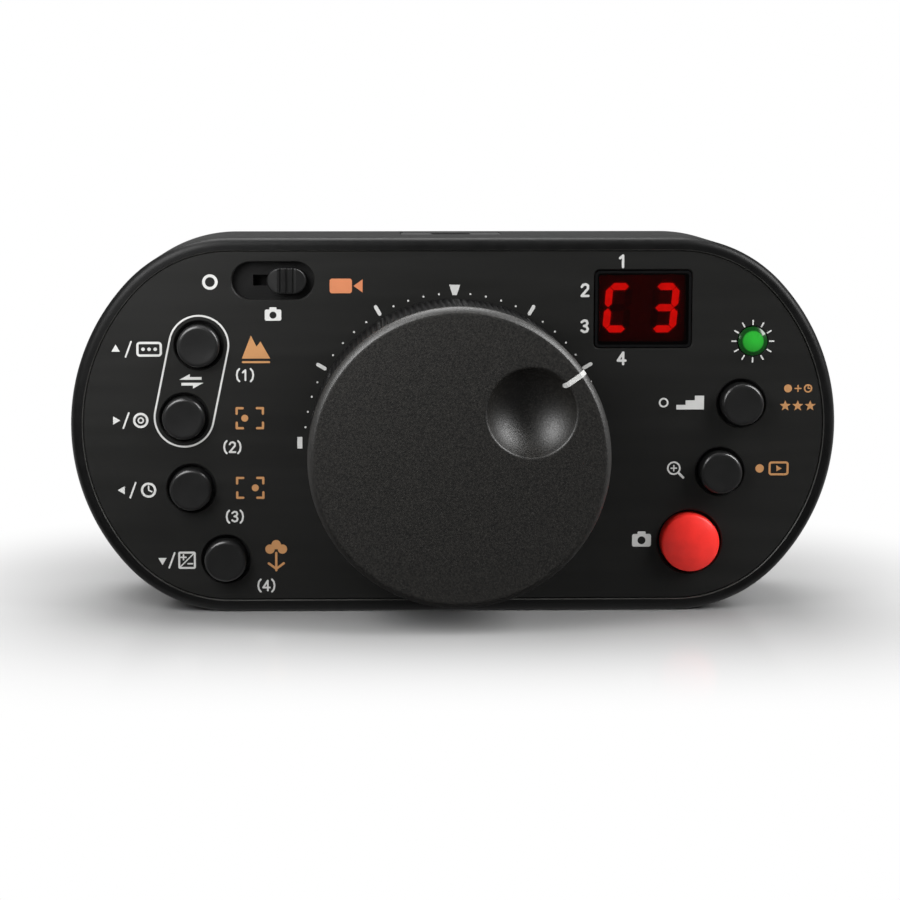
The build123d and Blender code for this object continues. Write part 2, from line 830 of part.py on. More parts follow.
# Push switches on the board, one group of separate bases
switch_places = [*button_places.values(), release_place]
with BuildPart() as tact_bases:
    with BuildSketch(wall_plane(board_front_y)):
        with Locations(*switch_places):
            Rectangle(tact_width, tact_width)
    extrude(amount=tact_height)
    with BuildSketch(wall_plane(tact_front_y)):
        with Locations(*switch_places):
            Circle(plunger_radius + slip)
    extrude(amount=-(plunger_sunk + max(press_travel, release_travel) + slip), mode=Mode.SUBTRACT)
save(tact_bases, "tact_bases")


def plunger(place):
    """Plunger of the push switch at a place."""
    with BuildPart() as pin:
        with BuildSketch(wall_plane(tact_front_y + plunger_sunk)):
            with Locations(place):
                Circle(plunger_radius)
        extrude(amount=plunger_sunk + plunger_rise)
    return pin


def button(place, radius, rise, crown, rounding):
    """Cap with its flange and stem; crown is how far the middle stands over the edge."""
    x, z = place
    top_y = fascia_y - rise
    edge_y = top_y + crown
    flange_y = plate_back_y + seat_gap
    with BuildPart() as cap:
        with BuildSketch(Plane(origin=(x, 0, z), x_dir=(1, 0, 0), z_dir=(0, 0, 1))) as profile:
            with BuildLine():
                Polyline(
                    (0, top_y),
                    (0, plunger_front_y),
                    (stem_radius, plunger_front_y),
                    (stem_radius, flange_y + flange_thick),
                    (radius + flange_extra, flange_y + flange_thick),
                    (radius + flange_extra, flange_y),
                    (radius, flange_y),
                    (radius, edge_y),
                )
                ThreePointArc(
                    (radius, edge_y), (radius / 2, edge_y - dome_rise(radius, crown)), (0, top_y)
                )
            make_face()
            fillet(profile.vertices().sort_by_distance((radius, edge_y))[0], rounding)
        revolve(axis=Axis((x, 0, z), (0, 1, 0)))
    return cap


for name, place in button_places.items():
    save(button(place, cap_radius, cap_rise, -cap_hollow, cap_round), name)
    save(plunger(place), name.replace("button", "plunger"))
save(button(release_place, release_radius, release_rise, release_dome, release_round), "release_button")
save(plunger(release_place), "release_plunger")

# Mode switch: shell on the board, lever and grooved knob
slot_x, slot_z = slot_place
knob_x = slot_x + slide_step
with BuildPart() as mode_switch_body:
    with BuildSketch(wall_plane(board_front_y)):
        with Locations(slot_place):
            Rectangle(switch_length, switch_width)
    extrude(amount=switch_height)
    with BuildSketch(wall_plane(switch_front_y)):
        with Locations(slot_place):
            Rectangle(lever_length + 2 * slide_step + 2 * slip, lever_width + 2 * slip)
    extrude(amount=-lever_sunk - slip, mode=Mode.SUBTRACT)
save(mode_switch_body, "mode_switch_body")

with BuildPart() as mode_lever:
    with BuildSketch(wall_plane(switch_front_y + lever_sunk)):
        with Locations((knob_x, slot_z)):
            Rectangle(lever_length, lever_width)
    extrude(amount=switch_front_y + lever_sunk - slot_floor_y + seat_gap)
save(mode_lever, "mode_lever")

knob_front_y = fascia_y - knob_rise
with BuildPart() as mode_knob:
    with BuildSketch(wall_plane(slot_floor_y - seat_gap)):
        with Locations((knob_x, slot_z)):
            SlotOverall(knob_length, knob_width)
    extrude(amount=slot_floor_y - seat_gap - knob_front_y)
    with BuildSketch(Plane(origin=(knob_x, knob_front_y, slot_z), x_dir=(1, 0, 0), z_dir=(0, 0, 1))):
        with BuildLine():
            Polyline(
                (-knob_flat / 2, 0),
                (-knob_length / 2, knob_slope),
                (-knob_length / 2, 2 * knob_rise + slot_depth),
                (knob_length / 2, 2 * knob_rise + slot_depth),
                (knob_length / 2, knob_slope),
                (knob_flat / 2, 0),
                close=True,
            )
        make_face()
    extrude(amount=knob_width / 2, both=True, mode=Mode.INTERSECT)
    fillet([e for e in mode_knob.edges() if e.center().Y < knob_front_y + knob_slope], knob_round)
    with BuildSketch(Plane(origin=(knob_x, knob_front_y, slot_z), x_dir=(1, 0, 0), z_dir=(0, 0, 1))):
        for i in range(knob_groove_count):
            with Locations(((i - (knob_groove_count - 1) / 2) * knob_groove_pitch, 0)):
                Rectangle(2 * knob_groove, 2 * knob_groove, rotation=45)
    extrude(amount=knob_width, both=True, mode=Mode.SUBTRACT)
save(mode_knob, "mode_knob")

# Display: tinted window, digit block and its bars
window_x, window_z = window_place
with BuildPart() as display_window:
    with BuildSketch(wall_plane(fascia_y + window_thick)):
        with Locations(window_place):
            RectangleRounded(window_width, window_height, window_corner)
    extrude(amount=window_thick)
save(display_window, "display_window")

with BuildPart() as display_module:
    with BuildSketch(wall_plane(board_front_y)):
        with Locations(window_place):
            Rectangle(module_width, module_height)
    extrude(amount=board_front_y - plate_back_y)
save(display_module, "display_module")

half_w = (digit_width - bar_width) / 2
half_h = (digit_height - bar_width) / 2
digit_bars = {
    "top": ((0, half_h), half_w, 0),
    "middle": ((0, 0), half_w, 0),
    "bottom": ((0, -half_h), half_w, 0),
    "upper_left": ((-half_w, half_h / 2), half_h / 2, 1),
    "lower_left": ((-half_w, -half_h / 2), half_h / 2, 1),
    "upper_right": ((half_w, half_h / 2), half_h / 2, 1),
    "lower_right": ((half_w, -half_h / 2), half_h / 2, 1),
}
digit_shapes = (
    ("top", "upper_left", "lower_left", "bottom"),
    ("top", "upper_right", "middle", "lower_right", "bottom"),
)


def bar_points(digit_x, bar):
    """Corners of one slanted six-sided bar of the digit centred at digit_x."""
    (cx, cz), half, upright = digit_bars[bar]
    reach = half - bar_gap
    edge = bar_width / 2 - bar_gap / 2
    around = [(-reach, 0), (-reach + edge, edge), (reach - edge, edge)]
    around += [(reach, 0), (reach - edge, -edge), (-reach + edge, -edge)]
    points = []
    for along, across in around:
        x, z = (across, along) if upright else (along, across)
        lean = (cz + z) * tan(radians(digit_slant))
        points.append((digit_x + cx + x + lean, window_z + cz + z))
    return points


def bars(lit):
    """Group of the display's lit or dark bars, standing on the face of the block."""
    with BuildPart() as group:
        with BuildSketch(wall_plane(plate_back_y)):
            for i, shape in enumerate(digit_shapes):
                digit_x = window_x + (i - (len(digit_shapes) - 1) / 2) * digit_pitch
                for bar in digit_bars:
                    if (bar in shape) == lit:
                        with BuildLine():
                            Polyline(*bar_points(digit_x, bar), close=True)
                        make_face()
        extrude(amount=bar_rise)
    return group


save(bars(True), "display_lit")
save(bars(False), "display_unlit")

# Status lamp: domed lens in the front plate, lamp on the board behind it
lens_x, lens_z = lens_place
lens_back_y = plate_back_y + lens_flange
lens_axis = Axis((lens_x, 0, lens_z), (0, 1, 0))
with BuildPart() as status_lens:
    with BuildSketch(Plane(origin=(lens_x, 0, lens_z), x_dir=(1, 0, 0), z_dir=(0, 0, 1))):
        with BuildLine():
            Polyline(
                (0, fascia_y - lens_rise),
                (0, lens_back_y),
                (lens_radius + lens_flange, lens_back_y),
                (lens_radius + lens_flange, plate_back_y),
                (lens_radius, plate_back_y),
                (lens_radius, fascia_y),
            )
            ThreePointArc(
                (lens_radius, fascia_y),
                (lens_radius / 2, fascia_y - dome_rise(lens_radius, lens_rise)),
                (0, fascia_y - lens_rise),
            )
        make_face()
    revolve(axis=lens_axis)
save(status_lens, "status_lens")

with BuildPart() as status_led:
    with BuildSketch(wall_plane(board_front_y)):
        with Locations(lens_place):
            Circle(led_radius)
    extrude(amount=board_front_y - lens_back_y - seat_gap)
    fillet(status_led.faces().sort_by(Axis.Y)[0].edges(), led_radius - slip)
save(status_led, "status_led")

# Cells, laid in opposite directions, with the contacts at both ends of the bay
contact_inner_x = bay_half_x - seat_gap - contact_thick
cell_planes = [
    Plane(origin=(sign * contact_inner_x, cell_y, z), x_dir=(0, 1, 0), z_dir=(-sign, 0, 0))
    for sign, z in zip((1, -1), cell_zs)
]
with BuildPart() as aa_cells:
    for plane in cell_planes:
        with BuildSketch(plane.offset(cell_nub_length)):
            Circle(cell_radius)
        extrude(amount=cell_length)
        with BuildSketch(plane):
            Circle(cell_nub_radius)
        extrude(amount=cell_nub_length)
save(aa_cells, "aa_cells")


def leaf(sign, z):
    """Bowed leaf that presses on the flat end of a cell; sign is the end of the bay."""
    root = sign * contact_inner_x
    tip = sign * (contact_inner_x - spring_reach + seat_gap)
    back = tip + sign * contact_thick
    with BuildPart() as strip:
        with BuildSketch(Plane.XY.offset(z)):
            with BuildLine():
                Polyline(
                    (root, cell_y + leaf_root),
                    (tip, cell_y + leaf_tip),
                    (tip, cell_y - leaf_tip),
                    (root, cell_y - leaf_root),
                    (root, cell_y - leaf_root + 2 * contact_thick),
                    (back, cell_y - leaf_tip + contact_thick / 2),
                    (back, cell_y + leaf_tip - contact_thick / 2),
                    (root, cell_y + leaf_root - 2 * contact_thick),
                    close=True,
                )
            make_face()
        extrude(amount=leaf_width / 2, both=True)
    return strip.part


def contact_pad(sign, low_z, high_z):
    """Flat strip against the end wall of the bay."""
    with BuildPart() as pad:
        with BuildSketch(Plane.YZ.offset(sign * contact_inner_x)):
            with Locations((cell_y, (low_z + high_z) / 2)):
                Rectangle(contact_width, high_z - low_z + contact_width)
        extrude(amount=sign * contact_thick)
    return pad.part


def contact_tab(z):
    """Tail of a contact that goes through the bay floor to the board."""
    with BuildPart() as tab:
        with BuildSketch(Plane.YZ.offset(contact_inner_x)):
            with Locations(((board_back_y + cell_y) / 2, z)):
                Rectangle(cell_y - board_back_y, tab_width)
        extrude(amount=contact_thick)
    return tab.part


with BuildPart() as contact_bridge:
    add(contact_pad(-1, cell_zs[1], cell_zs[0]))
    add(leaf(-1, cell_zs[0]))
save(contact_bridge, "contact_bridge")

with BuildPart() as contact_pair:
    for z in cell_zs:
        add(contact_pad(1, z, z))
        add(contact_tab(z))
    add(leaf(1, cell_zs[1]))
save(contact_pair, "contact_pair")

# Battery door with two hooks at its lower edge and finger grooves at its upper edge
with BuildPart() as battery_door:
    with BuildSketch(wall_plane(rear_y)):
        with Locations((0, cell_z)):
            RectangleRounded(2 * door_half_x, 2 * door_half_z, door_corner - door_gap)
    extrude(amount=door_thick)
    chamfer(battery_door.faces().sort_by(Axis.Y)[-1].edges(), door_bevel)
    with BuildSketch(wall_plane(door_inner_y)):
        with Locations(*[(x, hinge_z + (tongue_root - tongue_reach) / 2) for x in tongue_xs]):
            Rectangle(tongue_width, tongue_root + tongue_reach)
    extrude(amount=tongue_thick)
    with BuildSketch(wall_plane(rear_y)):
        for i in range(groove_count):
            with Locations((0, cell_z + door_half_z - notch_height - i * groove_pitch)):
                Rectangle(groove_length, groove_width)
    extrude(amount=groove_width / 2, mode=Mode.SUBTRACT)
save(battery_door, "battery_door")
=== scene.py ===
"""Looks of the hand-held focus controller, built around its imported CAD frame.

Sizes are in millimetres and Surface.build turns them into metres; only the floor's size, the
camera's clip distance and the lamps' places and sizes are given in metres.
"""

import json
import logging
from dataclasses import dataclass, field
from enum import Enum
from itertools import product
from math import atan2, ceil, cos, degrees, radians, sin, sqrt, tan
from typing import Optional, Sequence

import bmesh
import bpy
import numpy as np
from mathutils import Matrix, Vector
from mathutils.geometry import tessellate_polygon

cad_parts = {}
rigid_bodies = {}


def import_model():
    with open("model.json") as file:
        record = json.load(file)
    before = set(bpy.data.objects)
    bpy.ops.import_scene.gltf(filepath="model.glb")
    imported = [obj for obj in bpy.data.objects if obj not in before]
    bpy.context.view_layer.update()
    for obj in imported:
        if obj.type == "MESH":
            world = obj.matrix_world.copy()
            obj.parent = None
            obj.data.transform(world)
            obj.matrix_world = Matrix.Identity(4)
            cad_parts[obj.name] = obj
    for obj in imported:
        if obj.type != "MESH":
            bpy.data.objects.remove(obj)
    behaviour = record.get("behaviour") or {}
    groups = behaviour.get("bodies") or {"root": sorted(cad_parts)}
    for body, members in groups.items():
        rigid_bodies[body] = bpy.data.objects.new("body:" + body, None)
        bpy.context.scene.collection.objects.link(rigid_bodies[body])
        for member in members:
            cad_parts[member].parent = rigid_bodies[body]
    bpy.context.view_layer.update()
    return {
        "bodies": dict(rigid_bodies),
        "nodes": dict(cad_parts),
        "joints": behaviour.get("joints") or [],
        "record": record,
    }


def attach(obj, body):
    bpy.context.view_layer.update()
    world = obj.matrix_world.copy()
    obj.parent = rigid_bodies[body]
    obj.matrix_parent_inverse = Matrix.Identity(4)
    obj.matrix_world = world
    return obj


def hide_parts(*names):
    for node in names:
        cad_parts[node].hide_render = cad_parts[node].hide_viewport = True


log = logging.getLogger("focus_controller")

MM = 0.001
WELD = 0.0002

Color = tuple[float, float, float]
Place = tuple[float, float, float]
Point = tuple[float, float]
Profile = Sequence[tuple[float, float]]
Material = bpy.types.Material
Socket = bpy.types.NodeSocket


def rgb(red: float, green: float, blue: float) -> Color:
    """Linear colour from display values between 0 and 255."""
    shares = [value / 255 for value in (red, green, blue)]
    return tuple(s / 12.92 if s <= 0.04045 else ((s + 0.055) / 1.055) ** 2.4 for s in shares)


def add_object(name: str, data: bpy.types.ID) -> bpy.types.Object:
    """New object in the scene, at the origin and unturned.

    Args:
        name: its name.
        data: its mesh, light or camera.

    Returns:
        The object.
    """
    made = bpy.data.objects.new(name, data)
    bpy.context.scene.collection.objects.link(made)
    return made


class View(Enum):
    """The plane that a surface is drawn on; its depth runs along the third axis."""

    FRONT = "XZ"
    TOP = "XY"


@dataclass(frozen=True)
class Loop:
    """Closed outline of points with their outward normals, both of shape (n, 2)."""

    points: np.ndarray
    normals: np.ndarray

    @classmethod
    def arcs(cls, arcs: Sequence[tuple], step: float = 4.0) -> "Loop":
        """Outline of arcs joined by straight lines.

        Args:
            arcs: (centre x, centre y, radius, start angle, end angle) of each arc, in degrees.
            step: largest angle between two points.

        Returns:
            The loop; a point is its arc's centre plus radius times the normal.
        """
        points, normals = [], []
        for x, y, radius, start, end in arcs:
            angle = np.radians(np.linspace(start, end, ceil(abs(end - start) / step) + 1))
            normal = np.stack([np.cos(angle), np.sin(angle)], 1)
            points.append(np.array([x, y]) + radius * normal)
            normals.append(normal)
        return cls(np.concatenate(points), np.concatenate(normals))

    @classmethod
    def circle(cls, center: Point, radius: float, step: float = 4.0) -> "Loop":
        """Circle; a radius of 0 gives the loop that a revolved profile is swept along."""
        full = cls.arcs([(*center, radius, 0, 360)], step)
        return cls(full.points[:-1], full.normals[:-1])

    @classmethod
    def rounded(cls, center: Point, width: float, height: float, radius: float) -> "Loop":
        """Rectangle with round corners.

        Args:
            center: its middle.
            width: size along the first axis.
            height: size along the second axis.
            radius: radius of the corners.

        Returns:
            The loop, counter-clockwise.
        """
        x, y = width / 2 - radius, height / 2 - radius
        corners = [(x, -y, -90), (x, y, 0), (-x, y, 90), (-x, -y, 180)]
        return cls.arcs([(center[0] + a, center[1] + b, radius, s, s + 90) for a, b, s in corners], 9)

    @classmethod
    def capsule(cls, start: Point, end: Point, width: float, step: float = 12.0) -> "Loop":
        """Line between two points, of a given width and with round ends.

        Args:
            start: first point.
            end: second point.
            width: diameter of the round ends.
            step: largest angle between two points of an end.

        Returns:
            The loop, counter-clockwise.
        """
        turn = degrees(atan2(end[1] - start[1], end[0] - start[0]))
        ends = [(*end, width / 2, turn - 90, turn + 90), (*start, width / 2, turn + 90, turn + 270)]
        return cls.arcs(ends, step)

    @classmethod
    def polygon(cls, points: Sequence[Point]) -> "Loop":
        """Straight-sided outline, given counter-clockwise.

        A corner's normal is the sum of its two sides' normals over one plus their product, so that
        grown moves every side by the same offset.

        Args:
            points: corners.

        Returns:
            The loop.
        """
        flat = np.array(points, float)
        side = np.roll(flat, -1, 0) - flat
        side /= np.linalg.norm(side, axis=1)[:, None]
        normal = np.stack([side[:, 1], -side[:, 0]], 1)
        before = np.roll(normal, 1, 0)
        mitre = (normal + before) / (1 + np.sum(normal * before, 1))[:, None]
        return cls(flat, mitre)

    def grown(self, offset: float) -> "Loop":
        """The loop moved outwards by offset."""
        return Loop(self.points + offset * self.normals, self.normals)


class Surface:
    """Points and faces of one piece, gathered in millimetres."""

    def __init__(self, view: View = View.FRONT) -> None:
        """Starts empty.

        Args:
            view: plane that it is drawn on.
        """
        self.view = view
        self.points: list[np.ndarray] = []
        self.faces: list[np.ndarray] = []
        self.count = 0

    def place(self, flat: np.ndarray, depth: np.ndarray) -> np.ndarray:
        """Points in the frame, from points on the plane and their depth.

        Args:
            flat: points of shape (..., 2).
            depth: their depth, of a shape that spreads to theirs.

        Returns:
            Points of shape (..., 3).
        """
        depth = np.broadcast_to(depth, flat.shape[:-1])
        x, other = flat[..., 0], flat[..., 1]
        return np.stack((x, depth, other) if self.view is View.FRONT else (x, other, depth), -1)

    def add(self, points: np.ndarray, faces: np.ndarray) -> "Surface":
        """Adds points of shape (n, 3) and the faces between them, of shape (k, corners).

        Args:
            points: points in the frame.
            faces: for each face, the indices of its corners in points.

        Returns:
            This surface.
        """
        self.points.append(points.reshape(-1, 3))
        self.faces.append(faces + self.count)
        self.count += len(self.points[-1])
        return self

    def grid(
        self, flat: np.ndarray, depth: np.ndarray, closed: bool = False, skip: Sequence[tuple] = ()
    ) -> "Surface":
        """Skin over a grid of points.

        Args:
            flat: grid of points on the plane, of shape (rows, columns, 2).
            depth: their depth.
            closed: joins the last column to the first.
            skip: (row, column) of the cells that are left open.

        Returns:
            This surface.
        """
        points = self.place(flat, depth)
        rows, columns = flat.shape[:2]
        index = np.arange(rows * columns).reshape(rows, columns)
        after = np.roll(index, -1, 1)
        cells = np.stack([index[:-1], after[:-1], after[1:], index[1:]], -1)
        keep = np.ones(cells.shape[:2], bool)
        if not closed:
            keep[:, -1] = False
        for row, column in skip:
            keep[row, column] = False
        return self.add(points, cells[keep])

    def sweep(self, loop: Loop, profile: Profile, skip: Sequence[tuple] = ()) -> "Surface":
        """Skin along a loop; profile has rows of (outward offset, depth).

        A point is the loop's point plus the row's offset times its normal, at the row's depth.

        Args:
            loop: outline that the profile is carried along.
            profile: rows of the skin.
            skip: (row, column) of the cells that are left open.

        Returns:
            This surface.
        """
        rows = np.array(profile, float)
        flat = loop.points[None] + rows[:, 0, None, None] * loop.normals[None]
        return self.grid(flat, rows[:, 1, None], True, skip)

    def wall(self, loop: Loop, near: float, far: float, bevel: float = 0.0, more: Profile = ()) -> "Surface":
        """Side of a hole between two depths with a bevel at its near edge.

        Args:
            loop: outline.
            near: depth of the bevelled edge.
            far: depth of the other edge.
            bevel: its size; negative for the side of a block.
            more: profile rows that follow.

        Returns:
            This surface.
        """
        step = abs(bevel) if far > near else -abs(bevel)
        rows = [(bevel, near), (0, near + step)] if bevel else [(0, near)]
        return self.sweep(loop, [*rows, (0, far), *more])

    def revolve(self, center: Point, profile: Profile, step: float = 3.0) -> "Surface":
        """Skin round an axis through center; profile has rows of (radius, depth)."""
        return self.sweep(Loop.circle(center, 0, step), profile)

    def fill(self, loops: Sequence[Loop], depth: float) -> "Surface":
        """Flat face at a depth: the first loop, less the others, which are holes in it.

        Args:
            loops: outline and holes.
            depth: depth of the face.

        Returns:
            This surface.
        """
        flat = np.concatenate([loop.points for loop in loops])
        outlines = [[(*p, 0.0) for p in loop.points.tolist()] for loop in loops]
        return self.add(self.place(flat, depth), np.array(tessellate_polygon(outlines)))

    def prism(self, loop: Loop, near: float, far: float, bevel: float = 0.0) -> "Surface":
        """Block between two depths, with a bevel round its near face."""
        return self.fill([loop.grown(-bevel)], near).wall(loop, near, far, -bevel).fill([loop], far)

    def build(
        self,
        name: str,
        material: Material,
        body: str = "housing",
        replaces: Sequence[str] = (),
        slot: str = "",
        sharp: float = 32.0,
    ) -> None:
        """Turns the surface into an object that rides on a body.

        Args:
            name: name of the object.
            material: its finish.
            body: CAD body that it moves with.
            replaces: CAD nodes that it stands for.
            slot: not used.
            sharp: edges that turn more than this many degrees stay sharp.
        """
        mesh = bpy.data.meshes.new(name)
        points = np.concatenate(self.points) * MM
        mesh.from_pydata(points.tolist(), [], [face for block in self.faces for face in block.tolist()])
        work = bmesh.new()
        work.from_mesh(mesh)
        bmesh.ops.remove_doubles(work, verts=work.verts, dist=WELD * MM)
        bmesh.ops.recalc_face_normals(work, faces=work.faces)
        work.to_mesh(mesh)
        work.free()
        mesh.validate()
        mesh.polygons.foreach_set("use_smooth", np.ones(len(mesh.polygons), bool))
        mesh.set_sharp_from_angle(angle=radians(sharp))
        mesh.materials.append(material)
        piece = add_object(name, mesh)
        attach(piece, body)
        if replaces:
            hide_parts(*replaces)
        log.info("%s: %d faces on %s", name, len(mesh.polygons), body)


def quarter(offset: float, depth: float, radius: float, start: float, end: float, count: int = 9) -> list:
    """Profile rows on an arc; the angle is 0 outwards and 90 towards larger depth."""
    angle = np.radians(np.linspace(start, end, count))
    return list(zip(offset + radius * np.cos(angle), depth + radius * np.sin(angle)))


def arc_height(radius: float, over: np.ndarray) -> np.ndarray:
    """Height of a quarter circle at a way past its top; full before it and 0 after its foot."""
    return np.sqrt(np.maximum(0, radius**2 - np.maximum(0, over) ** 2))


def bowl(rim: float, rim_depth: float, middle_depth: float, count: int) -> list:
    """Profile rows of a shallow dome or hollow from its rim to its middle.

    Depth runs from the rim's to the middle's with one less the squared share of the radius.
    """
    share = np.linspace(1, 0, count)
    return list(zip(rim * share, middle_depth + (rim_depth - middle_depth) * share**2))


def button_top(radius: float, top: float, crown: float, rounding: float, count: int) -> list:
    """Profile rows from the side of a round button over its rounded edge to its middle.

    The face is part of a ball whose radius is (radius squared plus crown squared) over twice the
    crown. The rounding touches the side and the ball: its centre lies one rounding inside the
    side, and ball radius less rounding (plus, for a hollow) from the ball's centre.

    Args:
        radius: radius of the side.
        top: depth of the middle.
        crown: how far the middle stands over the edge; negative for a hollow.
        rounding: radius of the rounded edge.
        count: rows on the face.

    Returns:
        Rows of (radius, depth).
    """
    sign = 1 if crown > 0 else -1
    ball = (radius**2 + crown**2) / (2 * abs(crown))
    center, inner = top + sign * ball, radius - rounding
    reach = ball - sign * rounding
    edge = center - sign * sqrt(reach**2 - inner**2)
    lean = degrees(atan2(edge - center, inner)) if sign > 0 else degrees(atan2(center - edge, -inner))
    rows = quarter(inner, edge, rounding, 0, lean, 10)
    turn = np.linspace(np.arcsin(inner / reach), 0, count)[1:]
    return rows + list(zip(ball * np.sin(turn), center - sign * ball * np.cos(turn)))


class Graph:
    """Builds the node tree of one material or of the world."""

    def __init__(self, name: str, world: bool = False) -> None:
        """Starts the empty tree of a new material or world, with its output node.

        Args:
            name: name of the material or world.
            world: makes a world.
        """
        owners, kind = (bpy.data.worlds, "World") if world else (bpy.data.materials, "Material")
        self.owner = owners.new(name)
        self.owner.use_nodes = True
        self.tree = self.owner.node_tree
        self.tree.nodes.clear()
        self.output = self.tree.nodes.new("ShaderNodeOutput" + kind)

    def node(self, kind: str, inputs: Optional[dict] = None, **settings: object) -> bpy.types.Node:
        """Adds a node.

        Args:
            kind: name of the node type after ShaderNode.
            inputs: value or output socket for each input, by name or index.
            settings: properties of the node.

        Returns:
            The node.
        """
        made = self.tree.nodes.new("ShaderNode" + kind)
        for key, value in settings.items():
            setattr(made, key, value)
        for key, value in (inputs or {}).items():
            self.feed(made.inputs[key], value)
        return made

    def feed(self, socket: Socket, value: object) -> None:
        """Joins an output to an input, or sets the input's value or colour.

        Args:
            socket: input.
            value: output socket, number, vector or colour.
        """
        if isinstance(value, Socket):
            self.tree.links.new(value, socket)
        else:
            socket.default_value = (*value, 1) if socket.type == "RGBA" else value

    def coords(self, stretch: Place = (1, 1, 1)) -> Socket:
        """Object coordinates in millimetres, divided by stretch along each axis.

        Args:
            stretch: how far a pattern is drawn out along X, Y and Z.

        Returns:
            The vector output.
        """
        scale = tuple(1 / (MM * s) for s in stretch)
        source = self.node("TexCoord").outputs["Object"]
        return self.node("Mapping", {"Vector": source, "Scale": scale}).outputs[0]

    def noise(self, size: float, detail: float = 2.0, stretch: Place = (1, 1, 1)) -> Socket:
        """Noise between 0 and 1 whose spots are about size millimetres."""
        inputs = {"Vector": self.coords(stretch), "Scale": 1 / size, "Detail": detail}
        return self.node("TexNoise", inputs).outputs["Fac"]

    def ramp(self, value: object, low: Point, high: Point) -> Socket:
        """Value mapped from (in, out) of low to (in, out) of high, and held there."""
        inputs = {0: value, 1: low[0], 2: high[0], 3: low[1], 4: high[1]}
        return self.node("MapRange", inputs).outputs[0]

    def math(self, operation: str, *values: object) -> Socket:
        """Result of a math node."""
        return self.node("Math", dict(enumerate(values)), operation=operation).outputs[0]

    def mix(self, share: object, first: object, second: object) -> Socket:
        """Colour between two colours.

        Args:
            share: share of the second colour.
            first: first colour.
            second: second colour.

        Returns:
            The colour output.
        """
        made = self.node("Mix", data_type="RGBA")
        for socket, value in zip([s for s in made.inputs if s.enabled], (share, first, second)):
            self.feed(socket, value)
        return next(s for s in made.outputs if s.enabled)

    def uneven(self, noise: Socket, low: float, high: float) -> Socket:
        """Noise spread to values between low and high."""
        return self.ramp(noise, (0.3, low), (0.7, high))

    def bump(self, height: object, distance: float) -> Socket:
        """Normal bent by a height between 0 and 1 of distance millimetres."""
        inputs = {"Height": height, "Distance": distance * MM, "Strength": 1.0}
        return self.node("Bump", inputs).outputs[0]

    def finish(self, shader: bpy.types.Node) -> bpy.types.ID:
        """Joins a shader to the output and returns the material or world."""
        self.tree.links.new(shader.outputs[0], self.output.inputs["Surface"])
        return self.owner


@dataclass(frozen=True)
class Finish:
    """Plain finish: a softly mottled colour with a fine grain."""

    name: str
    color: Color
    roughness: float = 0.5
    metallic: float = 0.0
    specular: float = 0.5
    coat: float = 0.0
    mottle: float = 0.08
    spot: float = 10.0
    grain: float = 0.3
    depth: float = 0.0
    stretch: Place = (1, 1, 1)

    def material(self) -> Material:
        """The material, made once.

        The colour varies by the mottle share with a noise spot grains wide, and the roughness
        by the same share up to 0.1.

        Returns:
            The material.
        """
        made = bpy.data.materials.get(f"look_{self.name}")
        if made:
            return made
        graph = Graph(f"look_{self.name}")
        cloud = graph.noise(self.spot * self.grain, 3.0, self.stretch)
        low = tuple(c * (1 - self.mottle) for c in self.color)
        high = tuple(min(1, c * (1 + self.mottle)) for c in self.color)
        spread = min(self.mottle, 0.1)
        rough = (self.roughness * (1 - spread), self.roughness * (1 + spread))
        inputs = {
            "Base Color": graph.mix(graph.uneven(cloud, 0, 1), low, high),
            "Roughness": graph.uneven(cloud, *rough),
            "Metallic": self.metallic,
            "Specular IOR Level": self.specular,
            "Coat Weight": self.coat,
        }
        if self.depth:
            inputs["Normal"] = graph.bump(graph.noise(self.grain, 2.0, self.stretch), self.depth)
        return graph.finish(graph.node("BsdfPrincipled", inputs))


CASE = Finish("case_black", rgb(11, 11, 11), 0.45, specular=0.25, grain=0.22, depth=0.008)
FASCIA = Finish("fascia_dark", rgb(30, 30, 29), 0.45, specular=0.25, depth=0.006, stretch=(12, 1, 1))
WHEEL = Finish(
    "wheel_black", rgb(20, 18, 14), 0.48, specular=1.0, mottle=0.9, spot=1.2, grain=0.32, depth=0.035
)
# Painted highlight: the bezel's inner step is coloured far lighter than the case, standing for the light line
# along the bezel's inner edge.
PAINTED_EDGE_HIGHLIGHT = Finish("bezel_painted_highlight", rgb(60, 60, 58), 0.4, specular=0.4, mottle=0.2)
KNURL = Finish("wheel_knurl", rgb(13, 13, 13), 0.45, specular=0.25, grain=0.3, depth=0.01)
CAP = Finish("cap_black", rgb(27, 27, 27), 0.3, specular=0.8, grain=0.25, depth=0.01)
RED = Finish("release_red", rgb(252, 50, 43), 0.36, specular=0.3, grain=0.25, depth=0.01)
KNOB = Finish("knob_black", rgb(26, 26, 26), 0.32, specular=0.4, grain=0.25, depth=0.01)
PORT = Finish("port_black", rgb(12, 12, 13), 0.25)
STEEL = Finish("contact_steel", rgb(190, 190, 186), 0.3, metallic=1.0, stretch=(4, 1, 1))
OXIDE = Finish("screw_oxide", rgb(48, 48, 50), 0.35, metallic=1.0)
BRASS = Finish("bush_brass", rgb(196, 160, 96), 0.3, metallic=1.0)
WHITE_INK = Finish("ink_white", rgb(204, 204, 202), 0.55, mottle=0.04)
TAN_INK = Finish("ink_tan", rgb(186, 134, 84), 0.55, mottle=0.05)
ORANGE_INK = Finish("ink_orange", rgb(204, 126, 84), 0.55, mottle=0.05)
SWITCH = Finish("switch_black", rgb(24, 24, 24), 0.5, specular=0.2)
MASK = Finish("board_green", rgb(20, 70, 36), 0.35, coat=0.4, mottle=0.15)
CHIP = Finish("chip_black", rgb(20, 20, 21), 0.5)
DARK_BAR = Finish("bar_dark", rgb(176, 34, 30), 0.4)
BLOCK = Finish("display_block", rgb(214, 30, 26), 0.6)

